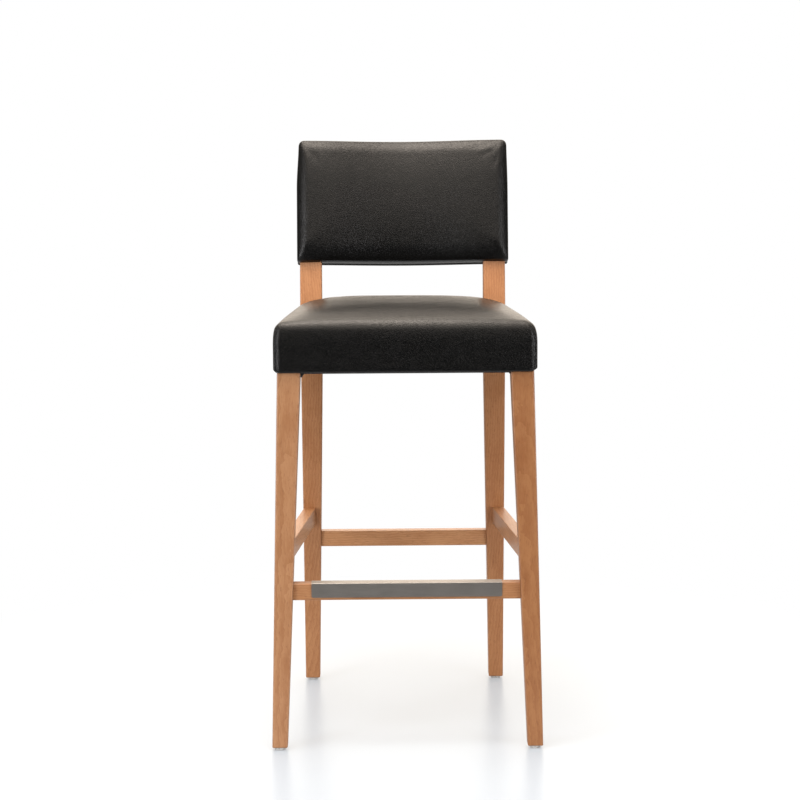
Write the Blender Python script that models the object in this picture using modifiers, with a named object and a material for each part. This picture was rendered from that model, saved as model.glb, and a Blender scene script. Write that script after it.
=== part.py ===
"""Bar-height stool with a beech frame, a steel-capped footrest and a leather seat and low back.

The stool stands on z = 0 and faces -Y. Left is the side of -X, right is the side of +X.
Every piece is a solid of its own. Pieces that touch keep a small clearance between them.
"""

import math

import bmesh
import bpy
from mathutils import Matrix, Vector

# Fits and cuts
CLEARANCE = 0.0003
OVERRUN = 0.010

# Overall places
FOOT_SPAN = 0.528
SEAT_UNDERSIDE = 0.690
SEAT_THICKNESS = 0.087
BACK_GAP = 0.086
BACK_HEIGHT = 0.241
BACK_LEAN = math.radians(9.5)

# Front legs, square in section, splayed out and forward towards the floor
FRONT_FOOT_HALF_SPREAD = 0.2472
FRONT_TOP_HALF_SPREAD = 0.2310
FRONT_FOOT_WIDTH = 0.028
FRONT_TOP_WIDTH = 0.042
FRONT_RAKE = 0.025
LEG_EDGE = 0.0022

# Rear legs, which bend at the seat and run on as the posts of the back
REAR_HALF_SPREAD = 0.2025
REAR_FOOT_WIDTH = 0.029
REAR_TOP_WIDTH = 0.043
REAR_FOOT_DEPTH = 0.030
REAR_KNEE_DEPTH = 0.045
REAR_RAKE = 0.077
POST_RETURN = 0.013
POST_DEPTH = 0.028
KNEE_REACH = 0.045
KNEE_STEPS = 8

# Footrest and stretchers
FOOTREST_TOP = 0.3060
FOOTREST_HEIGHT = 0.0300
FOOTREST_DEPTH = 0.0260
FOOTREST_SETBACK = 0.0075
SIDE_STRETCHER_TOP = 0.3668
SIDE_STRETCHER_HEIGHT = 0.0330
SIDE_STRETCHER_WIDTH = 0.0235
SIDE_STRETCHER_INSET = 0.0010
REAR_STRETCHER_TOP = 0.3170
REAR_STRETCHER_HEIGHT = 0.0315
REAR_STRETCHER_DEPTH = 0.0230
REAR_STRETCHER_SETBACK = 0.0060
STRETCHER_EDGE = 0.0015
TENON_LENGTH = 0.012
TENON_SHOULDER = 0.006

# Steel plate over the footrest
KICK_PLATE_END_GAP = 0.0335
KICK_PLATE_THICKNESS = 0.0012
KICK_PLATE_LIFT = 0.0050
KICK_PLATE_REAR_GAP = 0.0035
KICK_PLATE_BEND = 0.0015
KICK_PLATE_CORNER = 0.0030
KICK_SCREW_HEAD = 0.0028
KICK_SCREW_SHANK = 0.0013
KICK_SCREW_LENGTH = 0.0140
KICK_SCREW_END_GAP = 0.033

# Glides under the feet
GLIDE_HEIGHT = 0.0050
GLIDE_RADIUS = 0.0102
GLIDE_EDGE = 0.0010
GLIDE_RECESS_ROOM = 0.0006
NAIL_SINK = 0.0009
NAIL_HEAD_RADIUS = 0.0034
NAIL_HEAD_THICKNESS = 0.0010
NAIL_RADIUS = 0.0011
NAIL_LENGTH = 0.0180

# Leather and its stand-off from the wood
LEATHER = 0.0018
SEAT_STAND_OFF = 0.0072
SEAT_LIP = 0.018
LIP_ROOM = 0.0015

# Seat frame inside the leather
RAIL_THICKNESS = 0.022
RAIL_SETBACK = 0.0010
BOARD_THICKNESS = 0.010
EDGE_PAD = 0.0154
BOARD_VENT_RADIUS = 0.012
BOARD_VENT_SPREAD = 0.080
PAD_HEM = 0.015
CORNER_BLOCK_REACH = 0.075
CORNER_BLOCK_END = 0.014
CORNER_BLOCK_MARGIN = 0.009
CORNER_SCREW_HEAD = 0.0042
CORNER_SCREW_SHANK = 0.0020
CORNER_SCREW_LENGTH = 0.058
BOARD_SCREW_HEAD = 0.0038
BOARD_SCREW_SHANK = 0.0018
BOARD_SCREW_LENGTH = 0.032
BOARD_SCREW_SHARE = 0.4

# Form of the seat: crown, drawn-in sides and the loops of its cage
SEAT_CROWN = 0.0275
SEAT_TOP_DRAW = 0.0070
SEAT_BOTTOM_DRAW = 0.0025
CROWN_POWER = 6
SEAT_CAGE_SHARES = ((-0.92, -0.62, 0.0, 0.62, 0.92), (-0.91, -0.55, 0.0, 0.55, 0.91), (-0.86, 0.0, 0.72))

# Form of the back: its bend in plan, its crown and the loops of its cage
BACK_SIDE_STAND_OFF = 0.0065
BACK_SAG = 0.022
BACK_CROWN = 0.008
BACK_STAND_OFF = 0.0095
BACK_REAR_STAND_OFF = 0.0040
BACK_CAGE_SHARES = ((-0.93, -0.62, -0.25, 0.25, 0.62, 0.93), (-0.2,), (-0.88, -0.45, 0.45, 0.88))

# Frame inside the back
BACK_BOARD_THICKNESS = 0.005
BACK_END_PAD = 0.014
BACK_RAIL_HEIGHT = 0.040
BACK_MARGIN = 0.015
BEND_STEPS = 8

# Lining under the seat
LINING_THICKNESS = 0.0010
LINING_HEM = 0.0085

ROUND_SIDES = 10
GLIDE_SIDES = 24
SIDES = ((-1, "left"), (1, "right"))

# Colour, roughness and metallic value of each finish
FINISHES = {
    "beech": ((0.434, 0.205, 0.091), 0.45, 0.0),
    "raw timber": ((0.500, 0.330, 0.190), 0.75, 0.0),
    "black leather": ((0.010, 0.010, 0.010), 0.42, 0.0),
    "foam": ((0.720, 0.640, 0.420), 0.95, 0.0),
    "brushed steel": ((0.420, 0.400, 0.385), 0.30, 1.0),
    "zinc": ((0.520, 0.520, 0.500), 0.40, 1.0),
    "nylon": ((0.700, 0.690, 0.650), 0.50, 0.0),
    "black lining": ((0.012, 0.012, 0.013), 0.95, 0.0),
}


class Slope:
    """A size that changes evenly between two places on one axis."""

    def __init__(self, start, first, end, last):
        self.rate = (last - first) / (end - start)
        self.base = first - self.rate * start

    def at(self, place):
        """Size at a place on the axis."""
        return self.base + self.rate * place

    def meets(self, other):
        """Place where this slope crosses another."""
        return (other.base - self.base) / (self.rate - other.rate)


def between(low, high, sign):
    """Value at a cage coordinate: low at -1, high at 1."""
    return low + (high - low) * (sign + 1) / 2


def bent_edge(low, high, z):
    """Edge of a rear leg in side view: two straight stretches joined by a smooth knee."""
    start = low.meets(high) - KNEE_REACH
    if z <= start:
        return low.at(z)
    if z >= start + 2 * KNEE_REACH:
        return high.at(z)
    return low.at(z) + (high.rate - low.rate) * (z - start) ** 2 / (4 * KNEE_REACH)


# Levels of the seat and the back
SEAT_EDGE = SEAT_UNDERSIDE + SEAT_THICKNESS
BACK_BOTTOM = SEAT_EDGE + BACK_GAP

# Front legs: outer face, width and front face at a height
FRONT_OUTER = Slope(0, FRONT_FOOT_HALF_SPREAD, SEAT_UNDERSIDE, FRONT_TOP_HALF_SPREAD)
FRONT_WIDTH = Slope(0, FRONT_FOOT_WIDTH, SEAT_UNDERSIDE, FRONT_TOP_WIDTH)
FRONT_FACE = Slope(0, -FOOT_SPAN / 2, SEAT_UNDERSIDE, FRONT_RAKE - FOOT_SPAN / 2)

# Rear legs: front and back edges below the knee, and of the post above it
REAR_FOOT_FACE = FOOT_SPAN / 2 - REAR_FOOT_DEPTH
REAR_KNEE_FACE = REAR_FOOT_FACE - REAR_RAKE
POST_FACE = REAR_KNEE_FACE + POST_RETURN
POST_DEPTH_LEVEL = POST_DEPTH / math.cos(BACK_LEAN)
REAR_LOW_FRONT = Slope(0, REAR_FOOT_FACE, SEAT_UNDERSIDE, REAR_KNEE_FACE)
REAR_LOW_BACK = Slope(0, REAR_FOOT_FACE + REAR_FOOT_DEPTH, SEAT_UNDERSIDE, REAR_KNEE_FACE + REAR_KNEE_DEPTH)
POST_RISE = BACK_HEIGHT * math.cos(BACK_LEAN)
POST_RUN = BACK_HEIGHT * math.sin(BACK_LEAN)
POST_FRONT = Slope(BACK_BOTTOM, POST_FACE, BACK_BOTTOM + POST_RISE, POST_FACE + POST_RUN)
POST_BACK = Slope(BACK_BOTTOM, POST_FACE + POST_DEPTH_LEVEL, BACK_BOTTOM + POST_RISE,
                  POST_FACE + POST_RUN + POST_DEPTH_LEVEL)
REAR_WIDTH = Slope(0, REAR_FOOT_WIDTH, SEAT_UNDERSIDE, REAR_TOP_WIDTH)


def rear_front(z):
    """Front edge of a rear leg at a height."""
    return bent_edge(REAR_LOW_FRONT, POST_FRONT, z)


def rear_back(z):
    """Back edge of a rear leg at a height."""
    return bent_edge(REAR_LOW_BACK, POST_BACK, z)


def rear_inner(z):
    """Inner face of a rear leg at a height."""
    return REAR_HALF_SPREAD - REAR_WIDTH.at(min(z, SEAT_UNDERSIDE))


POST_INNER = rear_inner(SEAT_UNDERSIDE)

# Seat: plan and levels
SEAT_FRONT = FRONT_FACE.at(SEAT_UNDERSIDE) - SEAT_STAND_OFF
SEAT_REAR = rear_back(SEAT_EDGE)
SEAT_SIDE = Slope(FRONT_FACE.at(SEAT_UNDERSIDE), FRONT_TOP_HALF_SPREAD + SEAT_STAND_OFF,
                  REAR_KNEE_FACE, REAR_HALF_SPREAD + SEAT_STAND_OFF)
RAIL_BOTTOM = SEAT_UNDERSIDE + LEATHER + LIP_ROOM
RAIL_TOP = SEAT_EDGE - EDGE_PAD - BOARD_THICKNESS - CLEARANCE
RAIL_SIDE = Slope(FRONT_FACE.at(RAIL_TOP), FRONT_OUTER.at(RAIL_TOP) - RAIL_SETBACK,
                  REAR_KNEE_FACE, REAR_HALF_SPREAD - RAIL_SETBACK)
RAIL_FRONT = FRONT_FACE.at(RAIL_TOP) + RAIL_SETBACK
RAIL_REAR = SEAT_REAR - SEAT_STAND_OFF
RAIL_MIDDLE = (RAIL_BOTTOM + RAIL_TOP) / 2
BOARD_BOTTOM = RAIL_TOP + CLEARANCE
BOARD_TOP = BOARD_BOTTOM + BOARD_THICKNESS
LEG_BOTTOM = GLIDE_HEIGHT + CLEARANCE

# Glides: recess for the nail's head
GLIDE_RECESS_RADIUS = NAIL_HEAD_RADIUS + GLIDE_RECESS_ROOM
GLIDE_RECESS_DEPTH = NAIL_SINK + NAIL_HEAD_THICKNESS + CLEARANCE

# Back: size, and the place of its lower front edge at the ends
BACK_HALF_WIDTH = REAR_HALF_SPREAD + BACK_SIDE_STAND_OFF
BACK_THICKNESS = BACK_STAND_OFF + POST_DEPTH + BACK_REAR_STAND_OFF
BACK_FRONT_Y = POST_FACE - BACK_STAND_OFF * math.cos(BACK_LEAN)
BACK_FRONT_Z = BACK_BOTTOM + BACK_STAND_OFF * math.sin(BACK_LEAN)


def leaning_point(x, depth, height):
    """Point of the leaning back: depth from its front at the ends, height along the lean."""
    y = BACK_FRONT_Y + depth * math.cos(BACK_LEAN) + height * math.sin(BACK_LEAN)
    z = BACK_FRONT_Z + height * math.cos(BACK_LEAN) - depth * math.sin(BACK_LEAN)
    return Vector((x, y, z))


def bend(x):
    """How far the back is bent to the rear at a place across its width."""
    share = max(-1, min(1, x / BACK_HALF_WIDTH))
    return BACK_SAG * math.cos(math.pi / 2 * share) ** 2


def back_point(x, depth, height):
    """Point of the back, which leans and is bent in plan."""
    return leaning_point(x, depth + bend(x), height)


POST_TOP = back_point(BACK_HALF_WIDTH, BACK_STAND_OFF + POST_DEPTH, BACK_HEIGHT - BACK_END_PAD).z


def clear_scene():
    """Take away the objects that the scene starts with."""
    for existing in list(bpy.data.objects):
        bpy.data.objects.remove(existing, do_unlink=True)


def make_collection(name):
    """New collection in the scene."""
    collection = bpy.data.collections.new(name)
    bpy.context.scene.collection.children.link(collection)
    return collection


def cage(shares):
    """Cube from -1 to 1 with a loop at each share of its half size, along x, y and z."""
    shape = bmesh.new()
    bmesh.ops.create_cube(shape, size=2)
    for axis, stops in enumerate(shares):
        normal = Vector((0, 0, 0))
        normal[axis] = 1
        for stop in stops:
            everything = shape.verts[:] + shape.edges[:] + shape.faces[:]
            bmesh.ops.bisect_plane(shape, geom=everything, plane_co=normal * stop, plane_no=normal)
    return shape


def block(place, shares=((), (), ())):
    """Closed block whose cage coordinates are carried to their places by a function."""
    shape = cage(shares)
    for vertex in shape.verts:
        vertex.co = place(*vertex.co)
    return shape


def box(x_range, y_range, z_range):
    """Straight box between two values on each axis."""
    return block(lambda u, v, w: Vector((between(*x_range, u), between(*y_range, v), between(*z_range, w))))


def mirrored_range(side, inner, outer):
    """Range on x of something that lies between two distances from the centre plane."""
    return tuple(sorted((side * inner, side * outer)))


def slanted_box(side, outer, width, y_range, z_range):
    """Box that runs front to back along a slanting outer line, on one side of the stool."""
    def place(u, v, w):
        y = between(*y_range, v)
        across = mirrored_range(side, outer.at(y) - width, outer.at(y))
        return Vector((between(*across, u), y, between(*z_range, w)))
    return block(place)


def repeated(shape, matrices):
    """One mesh with a copy of a shape at each matrix."""
    source = bpy.data.meshes.new("shape")
    shape.to_mesh(source)
    shape.free()
    result = bmesh.new()
    for matrix in matrices:
        copy = source.copy()
        copy.transform(matrix)
        result.from_mesh(copy)
        bpy.data.meshes.remove(copy)
    bpy.data.meshes.remove(source)
    return result


def turned(profile, sides):
    """Solid turned about z from a profile of radius and height, listed from the top down."""
    shape = bmesh.new()
    points = [shape.verts.new((radius, 0, height)) for radius, height in profile]
    lines = [shape.edges.new(pair) for pair in zip(points, points[1:]) if pair[0].co != pair[1].co]
    bmesh.ops.spin(shape, geom=points + lines, cent=(0, 0, 0), axis=(0, 0, 1), dvec=(0, 0, 0),
                   angle=2 * math.pi, steps=sides, use_merge=False, use_duplicate=False)
    bmesh.ops.remove_doubles(shape, verts=shape.verts[:], dist=CLEARANCE / 100)
    bmesh.ops.recalc_face_normals(shape, faces=shape.faces[:])
    return shape


def pointing(location, outward):
    """Matrix that stands a shape at a place with its z axis along a direction."""
    return Matrix.Translation(location) @ Vector(outward).to_track_quat("Z", "Y").to_matrix().to_4x4()


def screw_shape(head, shank, length, grow=0):
    """Countersunk screw with the top of its head at the origin; a hole for it where it is grown."""
    neck = shank - head
    return turned([(0, grow), (head + grow, grow), (head + grow, 0), (shank + grow, neck),
                   (shank + grow, -length - grow), (0, -length - grow)], ROUND_SIDES)


def rod_shape(radius, length):
    """Round rod centred on the origin along z."""
    shape = bmesh.new()
    bmesh.ops.create_cone(shape, cap_ends=True, segments=ROUND_SIDES, radius1=radius, radius2=radius,
                          depth=length)
    return shape


def nail_shape(grow=0):
    """Glide nail with the underside of its head at the origin; its hole where it is grown."""
    return turned([(0, NAIL_HEAD_THICKNESS + grow), (NAIL_HEAD_RADIUS + grow, NAIL_HEAD_THICKNESS + grow),
                   (NAIL_HEAD_RADIUS + grow, 0), (NAIL_RADIUS + grow, 0),
                   (NAIL_RADIUS + grow, -NAIL_LENGTH - grow), (0, -NAIL_LENGTH - grow)], ROUND_SIDES)


def glide_shape():
    """Round glide on the floor, with a rounded foot and a hole and a recess for its nail."""
    bore = NAIL_RADIUS + CLEARANCE
    shoulder = GLIDE_RADIUS - GLIDE_EDGE
    chamfer = GLIDE_EDGE * (1 - math.sqrt(0.5))
    return turned([(bore, GLIDE_HEIGHT), (GLIDE_RADIUS, GLIDE_HEIGHT), (GLIDE_RADIUS, GLIDE_EDGE),
                   (GLIDE_RADIUS - chamfer, chamfer), (shoulder, 0), (GLIDE_RECESS_RADIUS, 0),
                   (GLIDE_RECESS_RADIUS, GLIDE_RECESS_DEPTH), (bore, GLIDE_RECESS_DEPTH),
                   (bore, GLIDE_HEIGHT)], GLIDE_SIDES)


def front_leg_shape(side, grow=0, spare=(0, 0, 0, 0)):
    """Tapered front leg; the space that it needs where it is grown, with some to spare at each side."""
    inward, outward, ahead, behind = (grow + extra for extra in spare)

    def place(u, v, w):
        z = between(LEG_BOTTOM - grow, RAIL_TOP + grow, w)
        across = mirrored_range(side, front_inner(z) - inward, FRONT_OUTER.at(z) + outward)
        along = (FRONT_FACE.at(z) - ahead, front_back(z) + behind)
        return Vector((between(*across, u), between(*along, v), z))
    return block(place)


def rear_leg_shape(side, grow=0, spare=(0, 0, 0, 0)):
    """Bent rear leg and post; the space it needs where it is grown, with some to spare at each side."""
    inward, outward, ahead, behind = (grow + extra for extra in spare)
    low = LEG_BOTTOM - grow
    high = POST_TOP + grow
    knee_low = REAR_LOW_FRONT.meets(POST_FRONT) - KNEE_REACH
    knee_high = REAR_LOW_BACK.meets(POST_BACK) + KNEE_REACH
    stations = [SEAT_UNDERSIDE]
    stations += [knee_low + (knee_high - knee_low) * step / KNEE_STEPS for step in range(KNEE_STEPS + 1)]
    shares = [2 * (z - low) / (high - low) - 1 for z in stations]

    def place(u, v, w):
        z = between(low, high, w)
        across = mirrored_range(side, rear_inner(z) - inward, REAR_HALF_SPREAD + outward)
        along = (rear_front(z) - ahead, rear_back(z) + behind)
        return Vector((between(*across, u), between(*along, v), z))
    return block(place, ((), (), shares))


def subdivided(shape):
    """Soft form of a coarse cage: one level of subdivision, split alike into triangles at every inset."""
    mesh = bpy.data.meshes.new("cage")
    shape.to_mesh(mesh)
    shape.free()
    carrier = bpy.data.objects.new("cage", mesh)
    bpy.context.scene.collection.objects.link(carrier)
    modifier = carrier.modifiers.new("Soft form", "SUBSURF")
    modifier.levels = 1
    modifier.render_levels = 1
    fine = bpy.data.meshes.new_from_object(carrier.evaluated_get(bpy.context.evaluated_depsgraph_get()))
    bpy.data.objects.remove(carrier, do_unlink=True)
    result = bmesh.new()
    result.from_mesh(fine)
    bpy.data.meshes.remove(fine)
    bpy.data.meshes.remove(mesh)
    bmesh.ops.triangulate(result, faces=result.faces[:], quad_method="FIXED")
    return result


def seat_shape(inset):
    """Crowned seat with drawn-in sides, taken in all round by an inset."""
    def place(u, v, w):
        y = between(SEAT_FRONT + inset, SEAT_REAR - inset, v)
        crown = SEAT_CROWN * (1 - abs(u) ** CROWN_POWER) * (1 - abs(v) ** CROWN_POWER)
        z = between(SEAT_UNDERSIDE + inset, SEAT_EDGE - inset + crown, w)
        draw = SEAT_TOP_DRAW * max(w, 0) ** 2 + (SEAT_BOTTOM_DRAW if w == -1 else 0)
        x = u * (SEAT_SIDE.at(y) - inset - draw)
        return Vector((x, y - v * draw, z))
    return subdivided(block(place, SEAT_CAGE_SHARES))


def back_shape(inset):
    """Padded back, crowned on its front and then bent in plan, taken in all round by an inset."""
    def place(u, v, w):
        crown = BACK_CROWN * (1 - abs(u) ** CROWN_POWER) * (1 - abs(w) ** CROWN_POWER)
        depth = between(inset - crown, BACK_THICKNESS - inset, v)
        return Vector((u * (BACK_HALF_WIDTH - inset), depth, between(inset, BACK_HEIGHT - inset, w)))
    shape = subdivided(block(place, BACK_CAGE_SHARES))
    for vertex in shape.verts:
        vertex.co = back_point(*vertex.co)
    return shape


def bent_box(half_width, depth_range, height_range):
    """Box inside the back that follows its bend and lean, with loops where its neighbours have theirs."""
    pitch = BACK_HALF_WIDTH / BEND_STEPS
    shares = [step * pitch / half_width for step in range(1 - BEND_STEPS, BEND_STEPS)]
    stops = [share for share in shares if abs(share) < 1]

    def place(u, v, w):
        return back_point(u * half_width, between(*depth_range, v), between(*height_range, w))
    return block(place, (stops, (), ()))


class Workshop:
    """Keeps the collections and turns shapes into named pieces and cutters."""

    def __init__(self, name):
        self.pieces = make_collection(name)
        self.cutters = make_collection(name + " cutters")
        self.stool = bpy.data.objects.new(name, None)
        self.pieces.objects.link(self.stool)

    def piece(self, name, shape, finish):
        """Named piece with its own material, parented to the stool."""
        mesh = bpy.data.meshes.new(name)
        shape.to_mesh(mesh)
        shape.free()
        made = bpy.data.objects.new(name, mesh)
        self.pieces.objects.link(made)
        made.parent = self.stool
        colour, roughness, metallic = FINISHES[finish]
        material = bpy.data.materials.new(name + " " + finish)
        material.use_nodes = True
        surface = material.node_tree.nodes["Principled BSDF"]
        surface.inputs["Base Color"].default_value = (*colour, 1)
        surface.inputs["Roughness"].default_value = roughness
        surface.inputs["Metallic"].default_value = metallic
        mesh.materials.append(material)
        return made

    def cutter(self, name, shape):
        """Hidden shape that cuts or joins pieces."""
        mesh = bpy.data.meshes.new(name)
        shape.to_mesh(mesh)
        shape.free()
        made = bpy.data.objects.new(name, mesh)
        made.hide_render = True
        made.display_type = "WIRE"
        self.cutters.objects.link(made)
        return made


def combine(piece, others, operation="DIFFERENCE"):
    """Cut a piece by other shapes, or join them to it."""
    for other in others:
        modifier = piece.modifiers.new(operation.title() + " " + other.name, "BOOLEAN")
        modifier.operation = operation
        modifier.solver = "EXACT"
        modifier.object = other


def soften(piece, width, segments=2):
    """Round the sharp edges of a piece."""
    modifier = piece.modifiers.new("Soft edges", "BEVEL")
    modifier.width = width
    modifier.segments = segments
    modifier.limit_method = "ANGLE"


def shade_round(piece):
    """Shade a round or soft piece smooth between its sharp edges."""
    piece.data.shade_smooth()
    piece.data.set_sharp_from_angle(angle=math.radians(35))


def drive_screws(shop, places, sizes, finish, pieces):
    """One screw at each named place, and its hole in the pieces that it goes through."""
    for name, matrix in places.items():
        shade_round(shop.piece(name, repeated(screw_shape(*sizes), [matrix]), finish))
    holes = repeated(screw_shape(*sizes, CLEARANCE), places.values())
    cut = shop.cutter("holes for " + min(places), holes)
    for piece in pieces:
        combine(piece, [cut])


def make_legs(shop):
    """Four legs, and the spaces that other pieces leave for them.

    A space is kept under its leg's row, what it is for and the leg's side. Those for beams reach past
    the leg on all sides but the one that the beam meets, so that no beam comes out beside its leg.
    """
    legs = {}
    spaces = {}
    shapes = {"front": front_leg_shape, "rear": rear_leg_shape}
    uses = {
        "piece": {"front": (0, 0, 0, 0), "rear": (0, 0, 0, 0)},
        "notch": {"front": (0, 0, 0, 0), "rear": (0, OVERRUN, 0, 0)},
        "cross beam": {"front": (0, OVERRUN, OVERRUN, OVERRUN), "rear": (0, OVERRUN, OVERRUN, OVERRUN)},
        "side beam": {"front": (OVERRUN, OVERRUN, OVERRUN, 0), "rear": (OVERRUN, OVERRUN, 0, OVERRUN)},
    }
    for side, label in SIDES:
        for row, shape in shapes.items():
            legs[row, side] = shop.piece(row + "_leg_" + label, shape(side), "beech")
            for use, spares in uses.items():
                space = shape(side, CLEARANCE, spares[row])
                spaces[row, use, side] = shop.cutter(row + " leg " + use + " space " + label, space)
    for leg in legs.values():
        soften(leg, LEG_EDGE)
    return legs, spaces


def leg_spaces(spaces, use):
    """The spaces of all four legs for one use."""
    return [spaces[row, use, side] for row in ("front", "rear") for side, label in SIDES]


def join_by_tenon(shop, beam, leg, label, shape_at):
    """Tenon on the beam's end and its mortise in the leg; shape_at gives the tenon, grown or not."""
    combine(beam, [shop.cutter("tenon " + label, shape_at(0))], "UNION")
    combine(leg, [shop.cutter("mortise " + label, shape_at(CLEARANCE))])


def make_cross_beam(shop, name, legs, spaces, row, y_range, z_range, edge):
    """Rail or stretcher between the two legs of one row, with a tenon at each end."""
    reach = (front_inner if row == "front" else rear_inner)(between(*z_range, 0))
    rough = reach + OVERRUN
    beam = shop.piece(name, box((-rough, rough), y_range, z_range), "beech")
    soften(beam, edge)
    combine(beam, [spaces[row, "cross beam", side] for side, label in SIDES])
    for side, label in SIDES:
        def shape_at(grow, side=side):
            trim = TENON_SHOULDER - grow
            return box(mirrored_range(side, reach - OVERRUN, reach + TENON_LENGTH + grow),
                       (y_range[0] + trim, y_range[1] - trim), (z_range[0] + trim, z_range[1] - trim))
        join_by_tenon(shop, beam, legs[row, side], name + " " + label, shape_at)
    return beam


def front_inner(z):
    """Inner face of a front leg at a height."""
    return FRONT_OUTER.at(z) - FRONT_WIDTH.at(z)


def front_back(z):
    """Back face of a front leg at a height."""
    return FRONT_FACE.at(z) + FRONT_WIDTH.at(z)


def make_side_beam(shop, name, side, legs, spaces, outer_sizes, width, z_range, edge):
    """Rail or stretcher between the two legs of one side; outer_sizes are its outer faces at them."""
    middle = between(*z_range, 0)
    front, rear = front_back(middle), rear_front(middle)
    outer = Slope(front, outer_sizes[0], rear, outer_sizes[1])
    rough = slanted_box(side, outer, width, (front - OVERRUN, rear + OVERRUN), z_range)
    beam = shop.piece(name, rough, "beech")
    soften(beam, edge)
    combine(beam, [spaces[row, "side beam", side] for row in ("front", "rear")])
    for row, face, outward in (("front", front, -1), ("rear", rear, 1)):
        def shape_at(grow, face=face, outward=outward):
            trim = TENON_SHOULDER - grow
            core = Slope(front, outer_sizes[0] - trim, rear, outer_sizes[1] - trim)
            ends = sorted((face - outward * OVERRUN, face + outward * (TENON_LENGTH + grow)))
            return slanted_box(side, core, width - 2 * trim, ends, (z_range[0] + trim, z_range[1] - trim))
        join_by_tenon(shop, beam, legs[row, side], name + " " + row, shape_at)
    return beam


def make_stretchers(shop, legs, spaces):
    """Footrest, rear stretcher and side stretchers."""
    footrest_z = (FOOTREST_TOP - FOOTREST_HEIGHT, FOOTREST_TOP)
    footrest_front = FRONT_FACE.at(between(*footrest_z, 0)) + FOOTREST_SETBACK
    footrest_y = (footrest_front, footrest_front + FOOTREST_DEPTH)
    footrest = make_cross_beam(shop, "footrest_rail", legs, spaces, "front", footrest_y, footrest_z,
                               STRETCHER_EDGE)
    stretcher_z = (REAR_STRETCHER_TOP - REAR_STRETCHER_HEIGHT, REAR_STRETCHER_TOP)
    stretcher_front = rear_front(between(*stretcher_z, 0)) + REAR_STRETCHER_SETBACK
    stretcher_y = (stretcher_front, stretcher_front + REAR_STRETCHER_DEPTH)
    make_cross_beam(shop, "rear_stretcher", legs, spaces, "rear", stretcher_y, stretcher_z, STRETCHER_EDGE)
    side_z = (SIDE_STRETCHER_TOP - SIDE_STRETCHER_HEIGHT, SIDE_STRETCHER_TOP)
    outer_sizes = (FRONT_OUTER.at(between(*side_z, 0)) - SIDE_STRETCHER_INSET,
                   REAR_HALF_SPREAD - SIDE_STRETCHER_INSET)
    for side, label in SIDES:
        make_side_beam(shop, "side_stretcher_" + label, side, legs, spaces, outer_sizes,
                       SIDE_STRETCHER_WIDTH, side_z, STRETCHER_EDGE)
    make_kick_plate(shop, footrest, footrest_y, footrest_z)


def make_kick_plate(shop, footrest, footrest_y, footrest_z):
    """Bent steel plate over the top and front of the footrest, with its screws."""
    middle = between(*footrest_z, 0)
    half = front_inner(middle) - KICK_PLATE_END_GAP
    front = footrest_y[0] - CLEARANCE - KICK_PLATE_THICKNESS
    rear = footrest_y[1] - KICK_PLATE_REAR_GAP
    top = footrest_z[1] + CLEARANCE + KICK_PLATE_THICKNESS
    bottom = footrest_z[0] + KICK_PLATE_LIFT
    shape = box((-half, half), (front, rear), (bottom, top))
    shape.edges.ensure_lookup_table()
    fold = [edge for edge in shape.edges
            if all(v.co.y < footrest_y[0] and v.co.z > footrest_z[1] for v in edge.verts)]
    bmesh.ops.bevel(shape, geom=fold, offset=KICK_PLATE_BEND, affect="EDGES", segments=3, profile=0.5,
                    material=-1)
    corners = [edge for edge in shape.edges
               if all(v.co.z < middle for v in edge.verts)
               and edge.verts[0].co.x == edge.verts[1].co.x]
    bmesh.ops.bevel(shape, geom=corners, offset=KICK_PLATE_CORNER, affect="EDGES", segments=3, profile=0.5,
                    material=-1)
    plate = shop.piece("kick_plate", shape, "brushed steel")
    room = box((-half - OVERRUN, half + OVERRUN), (footrest_y[0] - CLEARANCE, footrest_y[1] + OVERRUN),
               (bottom - OVERRUN, footrest_z[1] + CLEARANCE))
    across = (footrest_y[0] + rear) / 2
    spread = half - KICK_SCREW_END_GAP
    places = {"kick_plate_screw_" + label: pointing((spread * step, across, top), (0, 0, 1))
              for step, label in ((-1, "left"), (0, "middle"), (1, "right"))}
    combine(plate, [shop.cutter("footrest room", room)])
    drive_screws(shop, places, (KICK_SCREW_HEAD, KICK_SCREW_SHANK, KICK_SCREW_LENGTH), "brushed steel",
                 (plate, footrest))


def make_glides(shop, legs):
    """Nylon glide and nail under each foot."""
    rear_middle = REAR_FOOT_FACE + REAR_FOOT_DEPTH / 2
    centres = {}
    for side, label in SIDES:
        centres["front", side] = (side * (FRONT_FOOT_HALF_SPREAD - FRONT_FOOT_WIDTH / 2),
                                  (FRONT_FOOT_WIDTH - FOOT_SPAN) / 2)
        centres["rear", side] = (side * (REAR_HALF_SPREAD - REAR_FOOT_WIDTH / 2), rear_middle)
    for side, label in SIDES:
        for row in ("front", "rear"):
            x, y = centres[row, side]
            glide = repeated(glide_shape(), [Matrix.Translation((x, y, 0))])
            shade_round(shop.piece("glide_" + row + "_" + label, glide, "nylon"))
            place = [pointing((x, y, GLIDE_RECESS_DEPTH - CLEARANCE), (0, 0, -1))]
            nail = repeated(nail_shape(), place)
            shade_round(shop.piece("glide_nail_" + row + "_" + label, nail, "zinc"))
            hole = shop.cutter("nail hole " + row + " " + label, repeated(nail_shape(CLEARANCE), place))
            combine(legs[row, side], [hole])


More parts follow.
